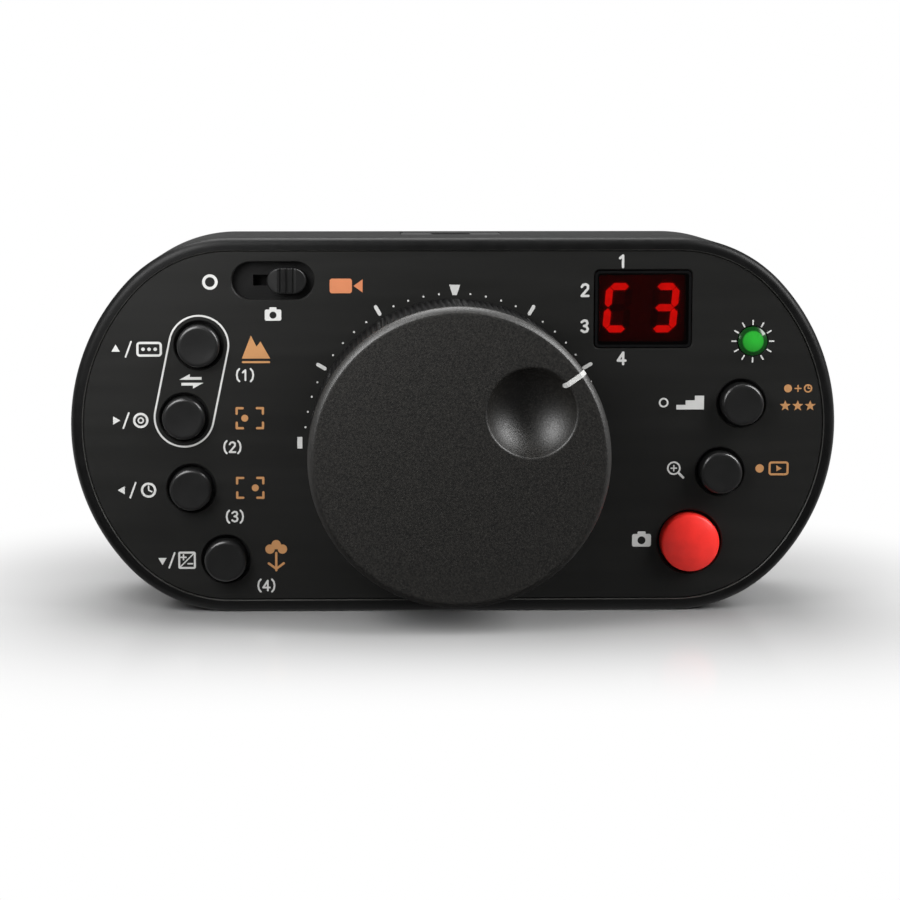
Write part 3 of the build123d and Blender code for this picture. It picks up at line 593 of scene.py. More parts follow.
# Depths of the panel's face and the back, heights, and places (x, z) on the front and back.
PANEL_Y = -14.3
BACK_Y = 14.5
BAY_Z = 38.0
HOOK_XS = (-17.0, 17.0)
WHEEL_Z = 34.25
SLOT = (-35.9, 66.525)
WINDOW = (37.4, 60.825)
LENS = (59.3, 54.375)
RELEASE = (47.2, 14.025)
BUTTONS = {
    "far": (-50.6, 53.775),
    "up": (-53.6, 39.375),
    "down": (-52.3, 25.125),
    "near": (-45.5, 10.8),
    "step": (57.2, 41.925),
    "magnify": (53.1, 28.2),
}
SCREWS = [(s * x, z) for s in (1, -1) for x, z in ((56.0, 64.5), (69.0, 37.5), (57.5, 10.5))]


@dataclass
class Housing:
    """Sizes of the case that its shells and the panel share."""

    width: float = 152.4
    height: float = 75.0
    corner_drop: float = 9.5
    corner_radius: float = 28.0
    side_radius: float = 42.0
    front: float = -14.5
    rear: float = BACK_Y
    seam: float = -7.0
    seam_gap: float = 0.12
    bezel: float = 2.5
    bezel_round: float = 1.6
    bezel_bevel: float = 0.15
    bezel_foot: float = 1.0
    rear_round: float = 3.6
    fascia: float = PANEL_Y
    recess: float = -13.8
    plate_back: float = -11.5
    well_floor: float = -12.8
    panel_bevel: float = 0.2
    slip: float = 0.1

    def outline(self, inset: float = 0.0) -> Loop:
        """Outline of the case.

        The corner arcs and the side arcs touch where the line through both centres leaves them.

        Args:
            inset: how far the outline is moved inwards.

        Returns:
            The loop, counter-clockwise from the bottom.
        """
        spread = sqrt((self.side_radius - self.corner_radius) ** 2 - self.corner_drop**2)
        side_x = self.width / 2 - self.side_radius
        meet = degrees(atan2(self.corner_drop, spread))
        right, up = side_x + spread, self.corner_drop
        arcs = [
            (right, -up, self.corner_radius, -90, -meet),
            (side_x, 0, self.side_radius, -meet, meet),
            (right, up, self.corner_radius, meet, 90),
            (-right, up, self.corner_radius, 90, 180 - meet),
            (-side_x, 0, self.side_radius, 180 - meet, 180 + meet),
            (-right, -up, self.corner_radius, 180 + meet, 270),
        ]
        lifted = [(x, z + self.height / 2, r - inset, a, b) for x, z, r, a, b in arcs]
        return Loop.arcs(lifted, 1.5)


@dataclass
class Shells:
    """Skins of the front and rear shells, the printed panel and the connector opening."""

    case: Housing
    bay_half: Point = (28.3, 14.9)
    door_half: Point = (30.65, 17.25)
    door_corner: float = 3.0
    door_depth: float = 12.5
    bay_floor: float = -2.3
    notch: Point = (14.0, 5.0)
    notch_depth: float = 0.7
    hook_pocket: Point = (8.3, 4.4)
    pocket_lap: float = 0.02
    pocket_inset: float = 0.05
    pocket_corner: float = 0.3
    port_place: Point = (0.0, 2.3)
    port: tuple = (20.6, 9.2, 1.2)
    port_depth: float = 1.5
    socket: tuple = (7.9, 4.1, 0.3)
    bush_hole: float = 4.65
    bush_depth: float = 9.0
    screw_hole: float = 2.5
    screw_floor: float = -1.4
    screw_ledge: float = 1.15
    lip: float = 0.7
    edge: float = 0.15
    well: float = 4.85
    release_well: float = 6.45
    well_ledge: float = 0.57
    nut_hole: float = 6.3
    lens_hole: float = 3.0
    window_hole: tuple = (19.5, 15.6, 1.05)
    window_step: float = 0.7
    slot: Point = (8.8, 7.5)
    slot_depth: float = 1.5
    lever: tuple = (8.0, 2.2, 0.2)

    def front(self) -> None:
        """Front shell: side wall and rounded bezel, and the step down to the panel, coloured lighter as a
        painted highlight along the bezel's inner edge.
        """
        c, r = self.case, self.case.bezel_round
        back = c.seam - c.seam_gap
        rows = [(-self.lip, back), (-self.edge, back), (0, back - self.edge)]
        rows += quarter(-r, c.front + r, r, 0, -90)
        rows += [(c.bezel_bevel - c.bezel, c.front)]
        skin = Surface().sweep(c.outline(), rows)
        skin.build("front_shell", CASE.material(), replaces=["front_case"], slot="case_black")
        # The step down to the panel gets the lighter finish, a painted highlight along the bezel's inner
        # edge.
        step = [rows[-1], (-c.bezel, c.front + c.bezel_bevel)]
        step += [(-c.bezel, c.recess), (-c.bezel - c.bezel_foot, c.recess)]
        Surface().sweep(c.outline(), step).build("bezel_painted_highlight", PAINTED_EDGE_HIGHLIGHT.material(), slot="case_black")

    def notch_arcs(self) -> list:
        """Arcs of the upper half of the thumb notch, on the upper edge of the door opening.

        Returns:
            Arcs as Loop.arcs takes them.
        """
        high, radius = BAY_Z + self.door_half[1], self.notch[1] / 2
        side = self.notch[0] / 2 - radius
        return [(side, high, radius, 0, 90), (-side, high, radius, 90, 180)]

    def door_opening(self) -> Loop:
        """Outline of the door opening with the notch on it.

        Returns:
            The loop.
        """
        (x, z), r = self.door_half, self.door_corner
        low, high = BAY_Z - z + r, BAY_Z + z - r
        right = [(x - r, low, r, -90, 0), (x - r, high, r, 0, 90)]
        left = [(r - x, high, r, 90, 180), (r - x, low, r, 180, 270)]
        return Loop.arcs(right + self.notch_arcs() + left, 6)

    def rear(self) -> None:
        """Rear shell: round edge, flat back with its openings, top and bottom walls."""
        c, r = self.case, self.case.rear_round
        outline = c.outline()
        front = c.seam + c.seam_gap
        rows = [(-self.lip, c.seam - c.seam_gap), (-self.lip, front)]
        rows += [(-self.edge, front), (0, front + self.edge)]
        wall_row = len(rows) - 1
        rows += quarter(-r, c.rear - r, r, 0, 90)
        x, z = outline.points.T
        flat = np.isclose(x, -np.roll(x, -1)) & np.isclose(z, np.roll(z, -1))
        skin = Surface().sweep(outline, rows, [(wall_row, i) for i in np.flatnonzero(flat)])
        opening = self.door_opening()
        screws = [Loop.circle(p, self.screw_hole) for p in SCREWS]
        ledge = c.rear - self.notch_depth
        skin.fill([outline.grown(-r)] + [hole.grown(self.edge) for hole in (opening, *screws)], c.rear)
        skin.wall(opening, c.rear, ledge, self.edge)
        for screw in screws:
            skin.wall(screw, c.rear, self.screw_floor, self.edge, [(-self.screw_ledge, self.screw_floor)])
        door = Loop.rounded((0, BAY_Z), 2 * self.door_half[0], 2 * self.door_half[1], self.door_corner)
        skin.fill([Loop.arcs(self.notch_arcs(), 6)], ledge).wall(door, ledge, self.door_depth)
        self.bay(skin, door)
        skin.build("rear_shell", CASE.material(), replaces=["rear_case"], slot="case_black")
        self.ends(front + self.edge, c.rear - r)

    def bay(self, skin: Surface, door: Loop) -> None:
        """Ledge under the door, battery bay and the pockets of the door's hooks.

        Args:
            skin: surface of the rear shell, which they are added to.
            door: outline of the door opening.
        """
        (x, z), (wide, tall) = self.bay_half, self.hook_pocket
        low, high, hinge_z = BAY_Z - z, BAY_Z + z, BAY_Z - self.door_half[1]
        pocket_low = hinge_z + self.pocket_inset
        points = [(-x, low)]
        for hook in HOOK_XS:
            points += [(hook - wide / 2, low), (hook - wide / 2, pocket_low)]
            points += [(hook + wide / 2, pocket_low), (hook + wide / 2, low)]
        inner = Loop.polygon(points + [(x, low), (x, high), (-x, high)])
        skin.fill([door, inner], self.door_depth)
        box = Loop.polygon([(-x, low), (x, low), (x, high), (-x, high)])
        skin.wall(box, self.door_depth, self.bay_floor).fill([box], self.bay_floor)
        for hook in HOOK_XS:
            pocket = Loop.rounded((hook, hinge_z), wide, 2 * tall, self.pocket_corner)
            floor = self.door_depth - tall
            skin.wall(pocket, self.door_depth - self.pocket_lap, floor).fill([pocket], floor)

    def ends(self, front: float, rear: float) -> None:
        """Flat top wall with the connector opening and flat bottom wall with the bush hole.

        Args:
            front: depth of the walls' front edge.
            rear: depth of their rear edge.
        """
        c = self.case
        points = c.outline().points
        half = float(points[np.isclose(points[:, 1], c.height), 0].max())
        wall = Loop.polygon([(-half, front), (half, front), (half, rear), (-half, rear)])
        opening, socket = [Loop.rounded(self.port_place, *size) for size in (self.port, self.socket)]
        floor = c.height - self.port_depth
        top = Surface(View.TOP).fill([wall, opening.grown(self.edge)], c.height)
        top.wall(opening, c.height, floor, self.edge).fill([opening, socket], floor)
        top.build("top_wall", CASE.material(), slot="case_black")
        hole = Loop.circle((0, 0), self.bush_hole)
        bottom = Surface(View.TOP).fill([wall, hole.grown(self.edge)], 0)
        bottom.wall(hole, 0, self.bush_depth, self.edge)
        bottom.build("bottom_wall", CASE.material(), slot="case_black")

    def panel(self) -> None:
        """Printed plate with its bevelled openings, and the floors of the slot and the wells."""
        c = self.case
        bevel, (x, z), reach = c.panel_bevel, SLOT, self.slot[0] / 2
        wells = [Loop.circle(place, self.well, 3) for place in BUTTONS.values()]
        wells.append(Loop.circle(RELEASE, self.release_well, 3))
        slot = Loop.capsule((x - reach, z), (x + reach, z), self.slot[1], 6)
        holes = [(well, c.recess) for well in wells]
        holes += [
            (Loop.circle((0, WHEEL_Z), self.nut_hole), c.recess),
            (Loop.circle(LENS, self.lens_hole), c.plate_back),
            (Loop.rounded(WINDOW, *self.window_hole), c.recess + self.window_step),
            (slot, c.recess),
        ]
        outer = c.outline(c.bezel + c.slip)
        plate = Surface().fill([outer.grown(-bevel)] + [h.grown(bevel) for h, _ in holes], c.fascia)
        plate.wall(outer, c.fascia, c.recess, -bevel)
        for hole, deep in holes:
            plate.wall(hole, c.fascia, deep, bevel)
        plate.build("panel", FASCIA.material(), replaces=["fascia_panel"], slot="fascia_dark")
        lever, slot_floor = Loop.rounded(SLOT, *self.lever), c.recess + self.slot_depth
        floor = Surface().wall(slot, c.recess, slot_floor).fill([slot, lever], slot_floor)
        floor.wall(lever, slot_floor, c.plate_back)
        ledge = [(-self.well_ledge, depth) for depth in (c.well_floor, c.plate_back)]
        for well in wells:
            floor.wall(well, c.recess, c.well_floor, 0, ledge)
        floor.build("control_wells", SWITCH.material(), slot="case_black")

    def build(self) -> None:
        """Builds every shell piece."""
        self.front()
        self.rear()
        self.panel()


@dataclass(frozen=True)
class PushButton:
    """Round button: straight side, round edge and a shallow hollow or dome."""

    key: str
    place: Point
    finish: Finish = CAP
    slot: str = "knob_black"
    radius: float = 4.2
    rise: float = 2.2
    crown: float = -0.25
    rounding: float = 0.75
    rows: int = 14
    back: float = -11.6

    def build(self) -> None:
        """Revolves the button's rounded side and top, and closes its back."""
        top = button_top(self.radius, PANEL_Y - self.rise, self.crown, self.rounding, self.rows)
        skin = Surface().revolve(self.place, [(0, self.back), (self.radius, self.back), *top])
        key, look = self.key, self.finish.material()
        skin.build(f"{key}_cap", look, f"{key}_key", [f"{key}_button"], self.slot, 50)


PUSH_BUTTONS = [PushButton(key, place) for key, place in BUTTONS.items()]
PUSH_BUTTONS.append(PushButton("release", RELEASE, RED, "release_red", 5.8, 3.2, 1.6, 0.8, 18))


@dataclass
class FocusWheel:
    """Knurled drum and grained face with its finger dish and pointer."""

    radius: float = 28.8
    foot: float = -14.9
    top: float = -34.47
    joint: float = -31.9
    bevel: float = 1.0
    soft: float = 0.1
    band: float = 0.4
    bevel_start: Point = (0.04, 0.05)
    bevel_end: float = 0.05
    joint_edge: Point = (0.25, 0.12)
    teeth: int = 150
    tooth_points: int = 10
    knurl: float = 0.4
    drum_wall: float = 2.5
    drum_top: tuple = ((0.25, 0, 0), (0.05, 0.25, 0), (0, 0.5, 0.2), (0, 0.9, 1))
    drum_foot: tuple = ((0, 1.1, 1), (0, 0.7, 0.2), (0.05, 0.3, 0), (0.35, 0, 0))
    dish: Point = (13.587, 43.073)
    dish_ball: float = 9.71
    dish_center: float = -39.01
    dish_round: float = 0.6
    pointer_angle: float = 35.0
    pointer_inner: float = 23.8
    pointer_straight: Point = (0.6, 5.0)
    pointer_width: float = 1.0
    pointer_lift: float = 0.02

    def dish_rows(self) -> list:
        """Profile of the dish: round edge, then the ball, which the edge's arc touches.

        The arc's centre lies one arc radius under the face, and ball radius plus arc radius
        away from the ball's centre.

        Returns:
            Rows of (radius, depth), from the rim to the middle.
        """
        ball, edge = self.dish_ball, self.dish_round
        rise = self.top + edge - self.dish_center
        reach = sqrt((ball + edge) ** 2 - rise**2)
        lean = degrees(atan2(rise, reach))
        rows = quarter(reach, self.top + edge, edge, -90, lean - 180)
        angle = np.radians(np.linspace(90 - lean, 0, 20))
        rows += list(zip(ball * np.sin(angle), self.dish_center + ball * np.cos(angle)))
        return rows

    def face(self) -> None:
        """Flat face, bevel, plain rim and dish in one skin.

        A flat band at each edge keeps the slope beside it out of the face's shading.
        """
        rows = self.dish_rows()
        rim = self.radius - self.bevel
        skin = Surface()
        flat = rim - self.soft
        outer = Loop.circle((0, WHEEL_Z), flat - self.band, 1.5)
        rows.insert(0, (rows[0][0] + self.band, self.top))
        inner = Loop.circle(self.dish, rows[0][0], 3)
        skin.fill([outer, inner], self.top).revolve(self.dish, rows)
        bevel_foot = self.top + self.bevel
        edge = [(flat - self.band, self.top), (flat, self.top)]
        edge += [(rim + self.bevel_start[0], self.top + self.bevel_start[1])]
        edge += [(self.radius - self.bevel_end, bevel_foot - self.bevel_end)]
        edge += [(self.radius, bevel_foot + self.soft), (self.radius, self.joint - self.joint_edge[1])]
        edge += [(self.radius - inset, self.joint) for inset in (self.joint_edge[0], self.drum_wall)]
        skin.revolve((0, WHEEL_Z), edge, 1.5)
        skin.build("wheel_disc", WHEEL.material(), "focus_wheel", ["wheel_face"], "wheel_black")

    def drum(self) -> None:
        """Knurled side: the radius less the groove's depth times a row's share and a tooth wave.

        Rows of the drum's edges hold an inset, the way from its end and the share.
        """
        wave = 0.5 - 0.5 * np.cos(np.linspace(0, 2 * np.pi, self.tooth_points, endpoint=False))
        angle = np.linspace(0, 2 * np.pi, self.tooth_points * self.teeth, endpoint=False)
        groove = np.tile(wave, self.teeth)
        rows = [(self.drum_wall, self.joint, 0)]
        rows += [(inset, self.joint + way, share) for inset, way, share in self.drum_top]
        rows += [(inset, self.foot - way, share) for inset, way, share in self.drum_foot]
        rows += [(self.drum_wall, self.foot, 0), (self.drum_wall, self.joint, 0)]
        inset, depth, share = np.array(rows).T
        reach = self.radius - inset[:, None] - self.knurl * share[:, None] * groove[None]
        flat = np.stack([reach * np.cos(angle), WHEEL_Z + reach * np.sin(angle)], -1)
        skin = Surface().grid(flat, depth[:, None], True)
        skin.build("wheel_side", KNURL.material(), "focus_wheel", ["wheel_drum"], "wheel_black", 60)

    def depth(self, flat: np.ndarray) -> np.ndarray:
        """Depth of the face at points: its plane, the dish's profile or the bevel's slope.

        Inside the dish it is read off the profile; over the bevel it grows by as much as the distance
        from the wheel's middle.

        Args:
            flat: points of shape (..., 2).

        Returns:
            Their depths, of shape (...).
        """
        away, depth = np.array(self.dish_rows()[::-1]).T
        inside = np.hypot(*np.moveaxis(flat - np.array(self.dish), -1, 0))
        out = np.hypot(*np.moveaxis(flat - np.array([0, WHEEL_Z]), -1, 0))
        dished = np.interp(inside, away, depth)
        return dished + np.maximum(0, out - self.radius + self.bevel)

    def pointer(self) -> None:
        """White line that follows the face from inside the dish's edge over the bevel.

        Its points lie along a ray and across it by shares of the half width, which grows on a
        quarter circle at the inner end.
        """
        turn, half = radians(self.pointer_angle), self.pointer_width / 2
        along = np.array([cos(turn), sin(turn)])
        across = np.array([-along[1], along[0]])
        round_end = half * (1 - np.cos(np.radians(np.linspace(0, 90, 7))))
        steps = np.concatenate([round_end, np.linspace(*self.pointer_straight, 45)])
        side = arc_height(half, half - steps)[:, None, None] * np.linspace(-1, 1, 7)[None, :, None] * across
        flat = np.array([0, WHEEL_Z]) + (self.pointer_inner + steps)[:, None, None] * along + side
        skin = Surface().grid(flat, self.depth(flat) - self.pointer_lift)
        skin.build("wheel_line", WHITE_INK.material(), "focus_wheel", ["wheel_pointer"], "mark_white")

    def build(self) -> None:
        """Builds the wheel's pieces."""
        self.face()
        self.drum()
        self.pointer()


@dataclass
class ModeSwitch:
    """Grooved knob of the three-position slide switch: round ends that slope down."""

    step: float = 2.7
    size: Point = (7.8, 5.1)
    foot: float = -12.35
    front: float = -15.2
    flat: float = 3.9
    slope: float = 0.7
    rounding: float = 0.3
    grooves: int = 3
    pitch: float = 1.3
    groove: float = 0.35

    def build(self) -> None:
        """Knob as a grid over its outline; its depth grows with the cuts at each point.

        The edge is a quarter circle over the distance from the outline, the ends slope from the
        flat's edge, and each groove is as deep as it is half wide, less the distance from it.
        """
        half, reach = self.size[1] / 2, (self.size[0] - self.size[1]) / 2
        end = reach + half * np.sin(np.radians(np.linspace(0, 90, 24)))[1:]
        x = np.concatenate([-end[::-1], np.linspace(-reach, reach, 90), end])
        v = np.sin(np.radians(np.linspace(-90, 90, 41)))
        z = v[:, None] * arc_height(half, np.abs(x) - reach)[None]
        inset = half - np.hypot(np.maximum(0, np.abs(x) - reach)[None], z)
        edge = self.rounding - arc_height(self.rounding, self.rounding - inset)
        spots = (np.arange(self.grooves) - (self.grooves - 1) / 2) * self.pitch
        near = np.min(np.abs(x[:, None] - spots[None]), 1)
        fall = self.slope * np.maximum(0, np.abs(x) - self.flat / 2) / (self.size[0] / 2 - self.flat / 2)
        depth = self.front + np.maximum(edge, np.maximum(0, self.groove - near)[None]) + fall[None]
        foot = np.full((1, len(x)), self.foot)
        depth = np.concatenate([foot, depth, foot])
        z = np.concatenate([z[:1], z, z[-1:]])
        flat = np.stack(np.broadcast_arrays(x[None] + SLOT[0] + self.step, z + SLOT[1]), -1)
        skin = Surface().grid(flat, depth)
        skin.build("switch_knob", KNOB.material(), "mode_slider", ["mode_knob"], "knob_black", 40)


@dataclass
class Display:
    """Tinted window with its mask, a black band over the pane's edge as painted shade of the gap round the
    pane, and the lit and dark bars of two digits.
    """

    front: float = PANEL_Y
    glass: float = 1.2
    glass_bevel: float = 0.08
    block: float = -11.5
    size: Point = (19.3, 15.4)
    corner: float = 1.0
    ledge: float = 1.0
    ledge_corner: float = 0.5
    shade_band: float = 0.6
    shade_band_corner: float = 0.6
    shade_band_lift: float = 0.012
    mask_gap: float = 0.04
    overlap: float = 0.1
    digit: Point = (5.4, 10.0)
    pitch: float = 9.4
    bar: float = 1.5
    bar_rise: float = 0.14
    bar_bevel: float = 0.06
    gap: float = 0.12
    slant: float = 5.0
    shapes: tuple = ("adef", "abcdg")

    def bars(self) -> dict:
        """Centre, half length and turn of each bar by its letter, as on any seven-bar digit.

        Returns:
            For each letter a (centre, half length, upright).
        """
        half_w, half_h = (self.digit[0] - self.bar) / 2, (self.digit[1] - self.bar) / 2
        return {
            "a": ((0, half_h), half_w, False),
            "g": ((0, 0), half_w, False),
            "d": ((0, -half_h), half_w, False),
            "f": ((-half_w, half_h / 2), half_h / 2, True),
            "e": ((-half_w, -half_h / 2), half_h / 2, True),
            "b": ((half_w, half_h / 2), half_h / 2, True),
            "c": ((half_w, -half_h / 2), half_h / 2, True),
        }

    def bar_loop(self, digit_x: float, bar: tuple) -> Loop:
        """One six-sided bar; a point leans right by its height times the tangent of the slant.

        Args:
            digit_x: X of the digit's middle.
            bar: centre, half length and upright, as bars gives them.

        Returns:
            The loop.
        """
        (cx, cz), half, upright = bar
        reach, edge = half - self.gap, (self.bar - self.gap) / 2
        flat = [(reach, 0), (reach - edge, edge), (edge - reach, edge)]
        flat += [(-reach, 0), (edge - reach, -edge), (reach - edge, -edge)]
        if upright:
            flat = [(-b, a) for a, b in flat]
        lean = tan(radians(self.slant))
        return Loop.polygon([(digit_x + cx + a + (cz + b) * lean, WINDOW[1] + cz + b) for a, b in flat])

    def opening(self, inset: float, corner: float) -> Loop:
        """Outline of the pane moved inwards by inset, with round corners of its own."""
        width, height = [side - 2 * inset for side in self.size]
        return Loop.rounded(WINDOW, width, height, corner)

    def build(self) -> None:
        """Builds the display."""
        glass = self.opening(0, self.corner)
        pane = Surface().prism(glass, self.front, self.front + self.glass, self.glass_bevel)
        pane.build("window", TintedPane().material(), replaces=["display_window"], slot="window_red")
        inner = self.opening(self.ledge, self.ledge_corner)
        back = self.front + self.glass + self.mask_gap
        mask = Surface().fill([glass.grown(self.overlap), inner], back).wall(inner, back, self.block)
        mask.build("window_mask", PORT.material(), slot="case_black")
        # Painted shade: an opaque black band on the pane's front edge stands for the shade in the gap round
        # the pane.
        clear = self.opening(self.shade_band, self.shade_band_corner)
        frame = Surface().fill([glass.grown(-self.overlap), clear], self.front - self.shade_band_lift)
        frame.build("window_painted_shade", PORT.material(), slot="window_red")
        lit, dark = Surface(), Surface()
        for i, shape in enumerate(self.shapes):
            for letter, bar in self.bars().items():
                loop = self.bar_loop(WINDOW[0] + (i - 0.5) * self.pitch, bar)
                skin = lit if letter in shape else dark
                skin.prism(loop, self.block - self.bar_rise, self.block, self.bar_bevel)
        lit.build("lit_bars", LitBar().material(), replaces=["display_lit"], slot="bar_lit")
        dark.build("dark_bars", DARK_BAR.material(), replaces=["display_unlit"], slot="bar_dark")


@dataclass(frozen=True)
class TintedPane:
    """Red tinted pane: light through it is coloured, and its surface mirrors a little."""

    color: Color = rgb(190, 60, 54)
    roughness: Point = (0.02, 0.05)
    spot: float = 4.0
    index: float = 1.4

    def material(self) -> Material:
        """Tint and mirror, mixed by how much a surface of this index mirrors at each angle.

        Returns:
            The material.
        """
        graph = Graph("look_window")
        tint = graph.node("BsdfTransparent", {"Color": self.color})
        rough = graph.uneven(graph.noise(self.spot), *self.roughness)
        mirror = graph.node("BsdfGlossy", {"Roughness": rough})
        edge = graph.node("Fresnel", {"IOR": self.index}).outputs[0]
        return graph.finish(graph.node("MixShader", {0: edge, 1: tint.outputs[0], 2: mirror.outputs[0]}))


@dataclass(frozen=True)
class LitBar:
    """Lit plastic that glows a little unevenly."""

    color: Color = rgb(255, 214, 200)
    strength: float = 2.0
    spread: Point = (0.85, 1.1)
    spot: float = 1.2
    roughness: float = 0.4

    def material(self) -> Material:
        """Plain plastic whose glow wanders between two shares of its strength.

        Returns:
            The material.
        """
        graph = Graph("look_bar")
        low, high = [self.strength * share for share in self.spread]
        inputs = {
            "Base Color": self.color,
            "Emission Color": self.color,
            "Emission Strength": graph.uneven(graph.noise(self.spot), low, high),
            "Roughness": self.roughness,
        }
        return graph.finish(graph.node("BsdfPrincipled", inputs))


@dataclass
class StatusLamp:
    """Domed green lens with a dark rim."""

    radius: float = 2.88
    rise: float = 0.85
    back: float = -11.6
    core: float = 2.1
    core_soft: float = 0.15
    core_edge: float = 0.35
    glow: float = 0.22

    def material(self) -> Material:
        """Green that glows within the core's radius and is nearly black outside it.

        Returns:
            The material.
        """
        graph = Graph("look_lens")
        spot = (LENS[0], PANEL_Y - self.rise, LENS[1])
        away = graph.node("VectorMath", {0: graph.coords(), 1: spot}, operation="DISTANCE").outputs["Value"]
        share = graph.ramp(away, (self.core - self.core_soft, 1), (self.core + self.core_soft, 0))
        heart = graph.ramp(away, (0, 1), (self.core, self.core_edge))
        color = graph.mix(share, rgb(18, 70, 24), rgb(40, 150, 46))
        inputs = {
            "Base Color": color,
            "Roughness": graph.uneven(graph.noise(1.0), 0.1, 0.16),
            "Emission Color": rgb(50, 200, 62),
            "Emission Strength": graph.math("MULTIPLY", share, graph.math("MULTIPLY", heart, self.glow)),
        }
        return graph.finish(graph.node("BsdfPrincipled", inputs))

    def build(self) -> None:
        """Builds the lens."""
        rows = [(0, self.back), (self.radius, self.back)]
        rows += bowl(self.radius, PANEL_Y, PANEL_Y - self.rise, 14)
        lens = Surface().revolve(LENS, rows)
        lens.build("lamp_lens", self.material(), replaces=["status_lens"], slot="lens_green")


class Ink(Enum):
    """Inks of the printed panel."""

    WHITE = WHITE_INK
    TAN = TAN_INK
    ORANGE = ORANGE_INK


WHITE, TAN, ORANGE = Ink
LINE = 0.46
NUMERALS = {
    "1": [(-0.22, 0.27), (0.04, 0.5), (0.04, -0.5)],
    "2": [(-0.27, 0.28), (-0.16, 0.45), (0.06, 0.5), (0.26, 0.38), (0.25, 0.12), (-0.28, -0.5), (0.3, -0.5)],
    "3": [(-0.26, 0.36), (-0.06, 0.5), (0.16, 0.47), (0.25, 0.27), (0.14, 0.08), (-0.06, 0.03), (0.16, -0.03),
          (0.28, -0.23), (0.18, -0.44), (-0.04, -0.5), (-0.27, -0.36)],
    "4": [(0.14, -0.5), (0.14, 0.5), (-0.32, -0.2), (0.34, -0.2)],
    "(": [(0.16, 0.62), (-0.02, 0.4), (-0.1, 0.0), (-0.02, -0.4), (0.16, -0.62)],
    ")": [(-0.16, 0.62), (0.02, 0.4), (0.1, 0.0), (0.02, -0.4), (-0.16, -0.62)],
}


def ray(angle: float, *radii: float) -> list:
    """Points on a line from the origin at an angle in degrees, one for each radius."""
    return [(r * cos(radians(angle)), r * sin(radians(angle))) for r in radii]


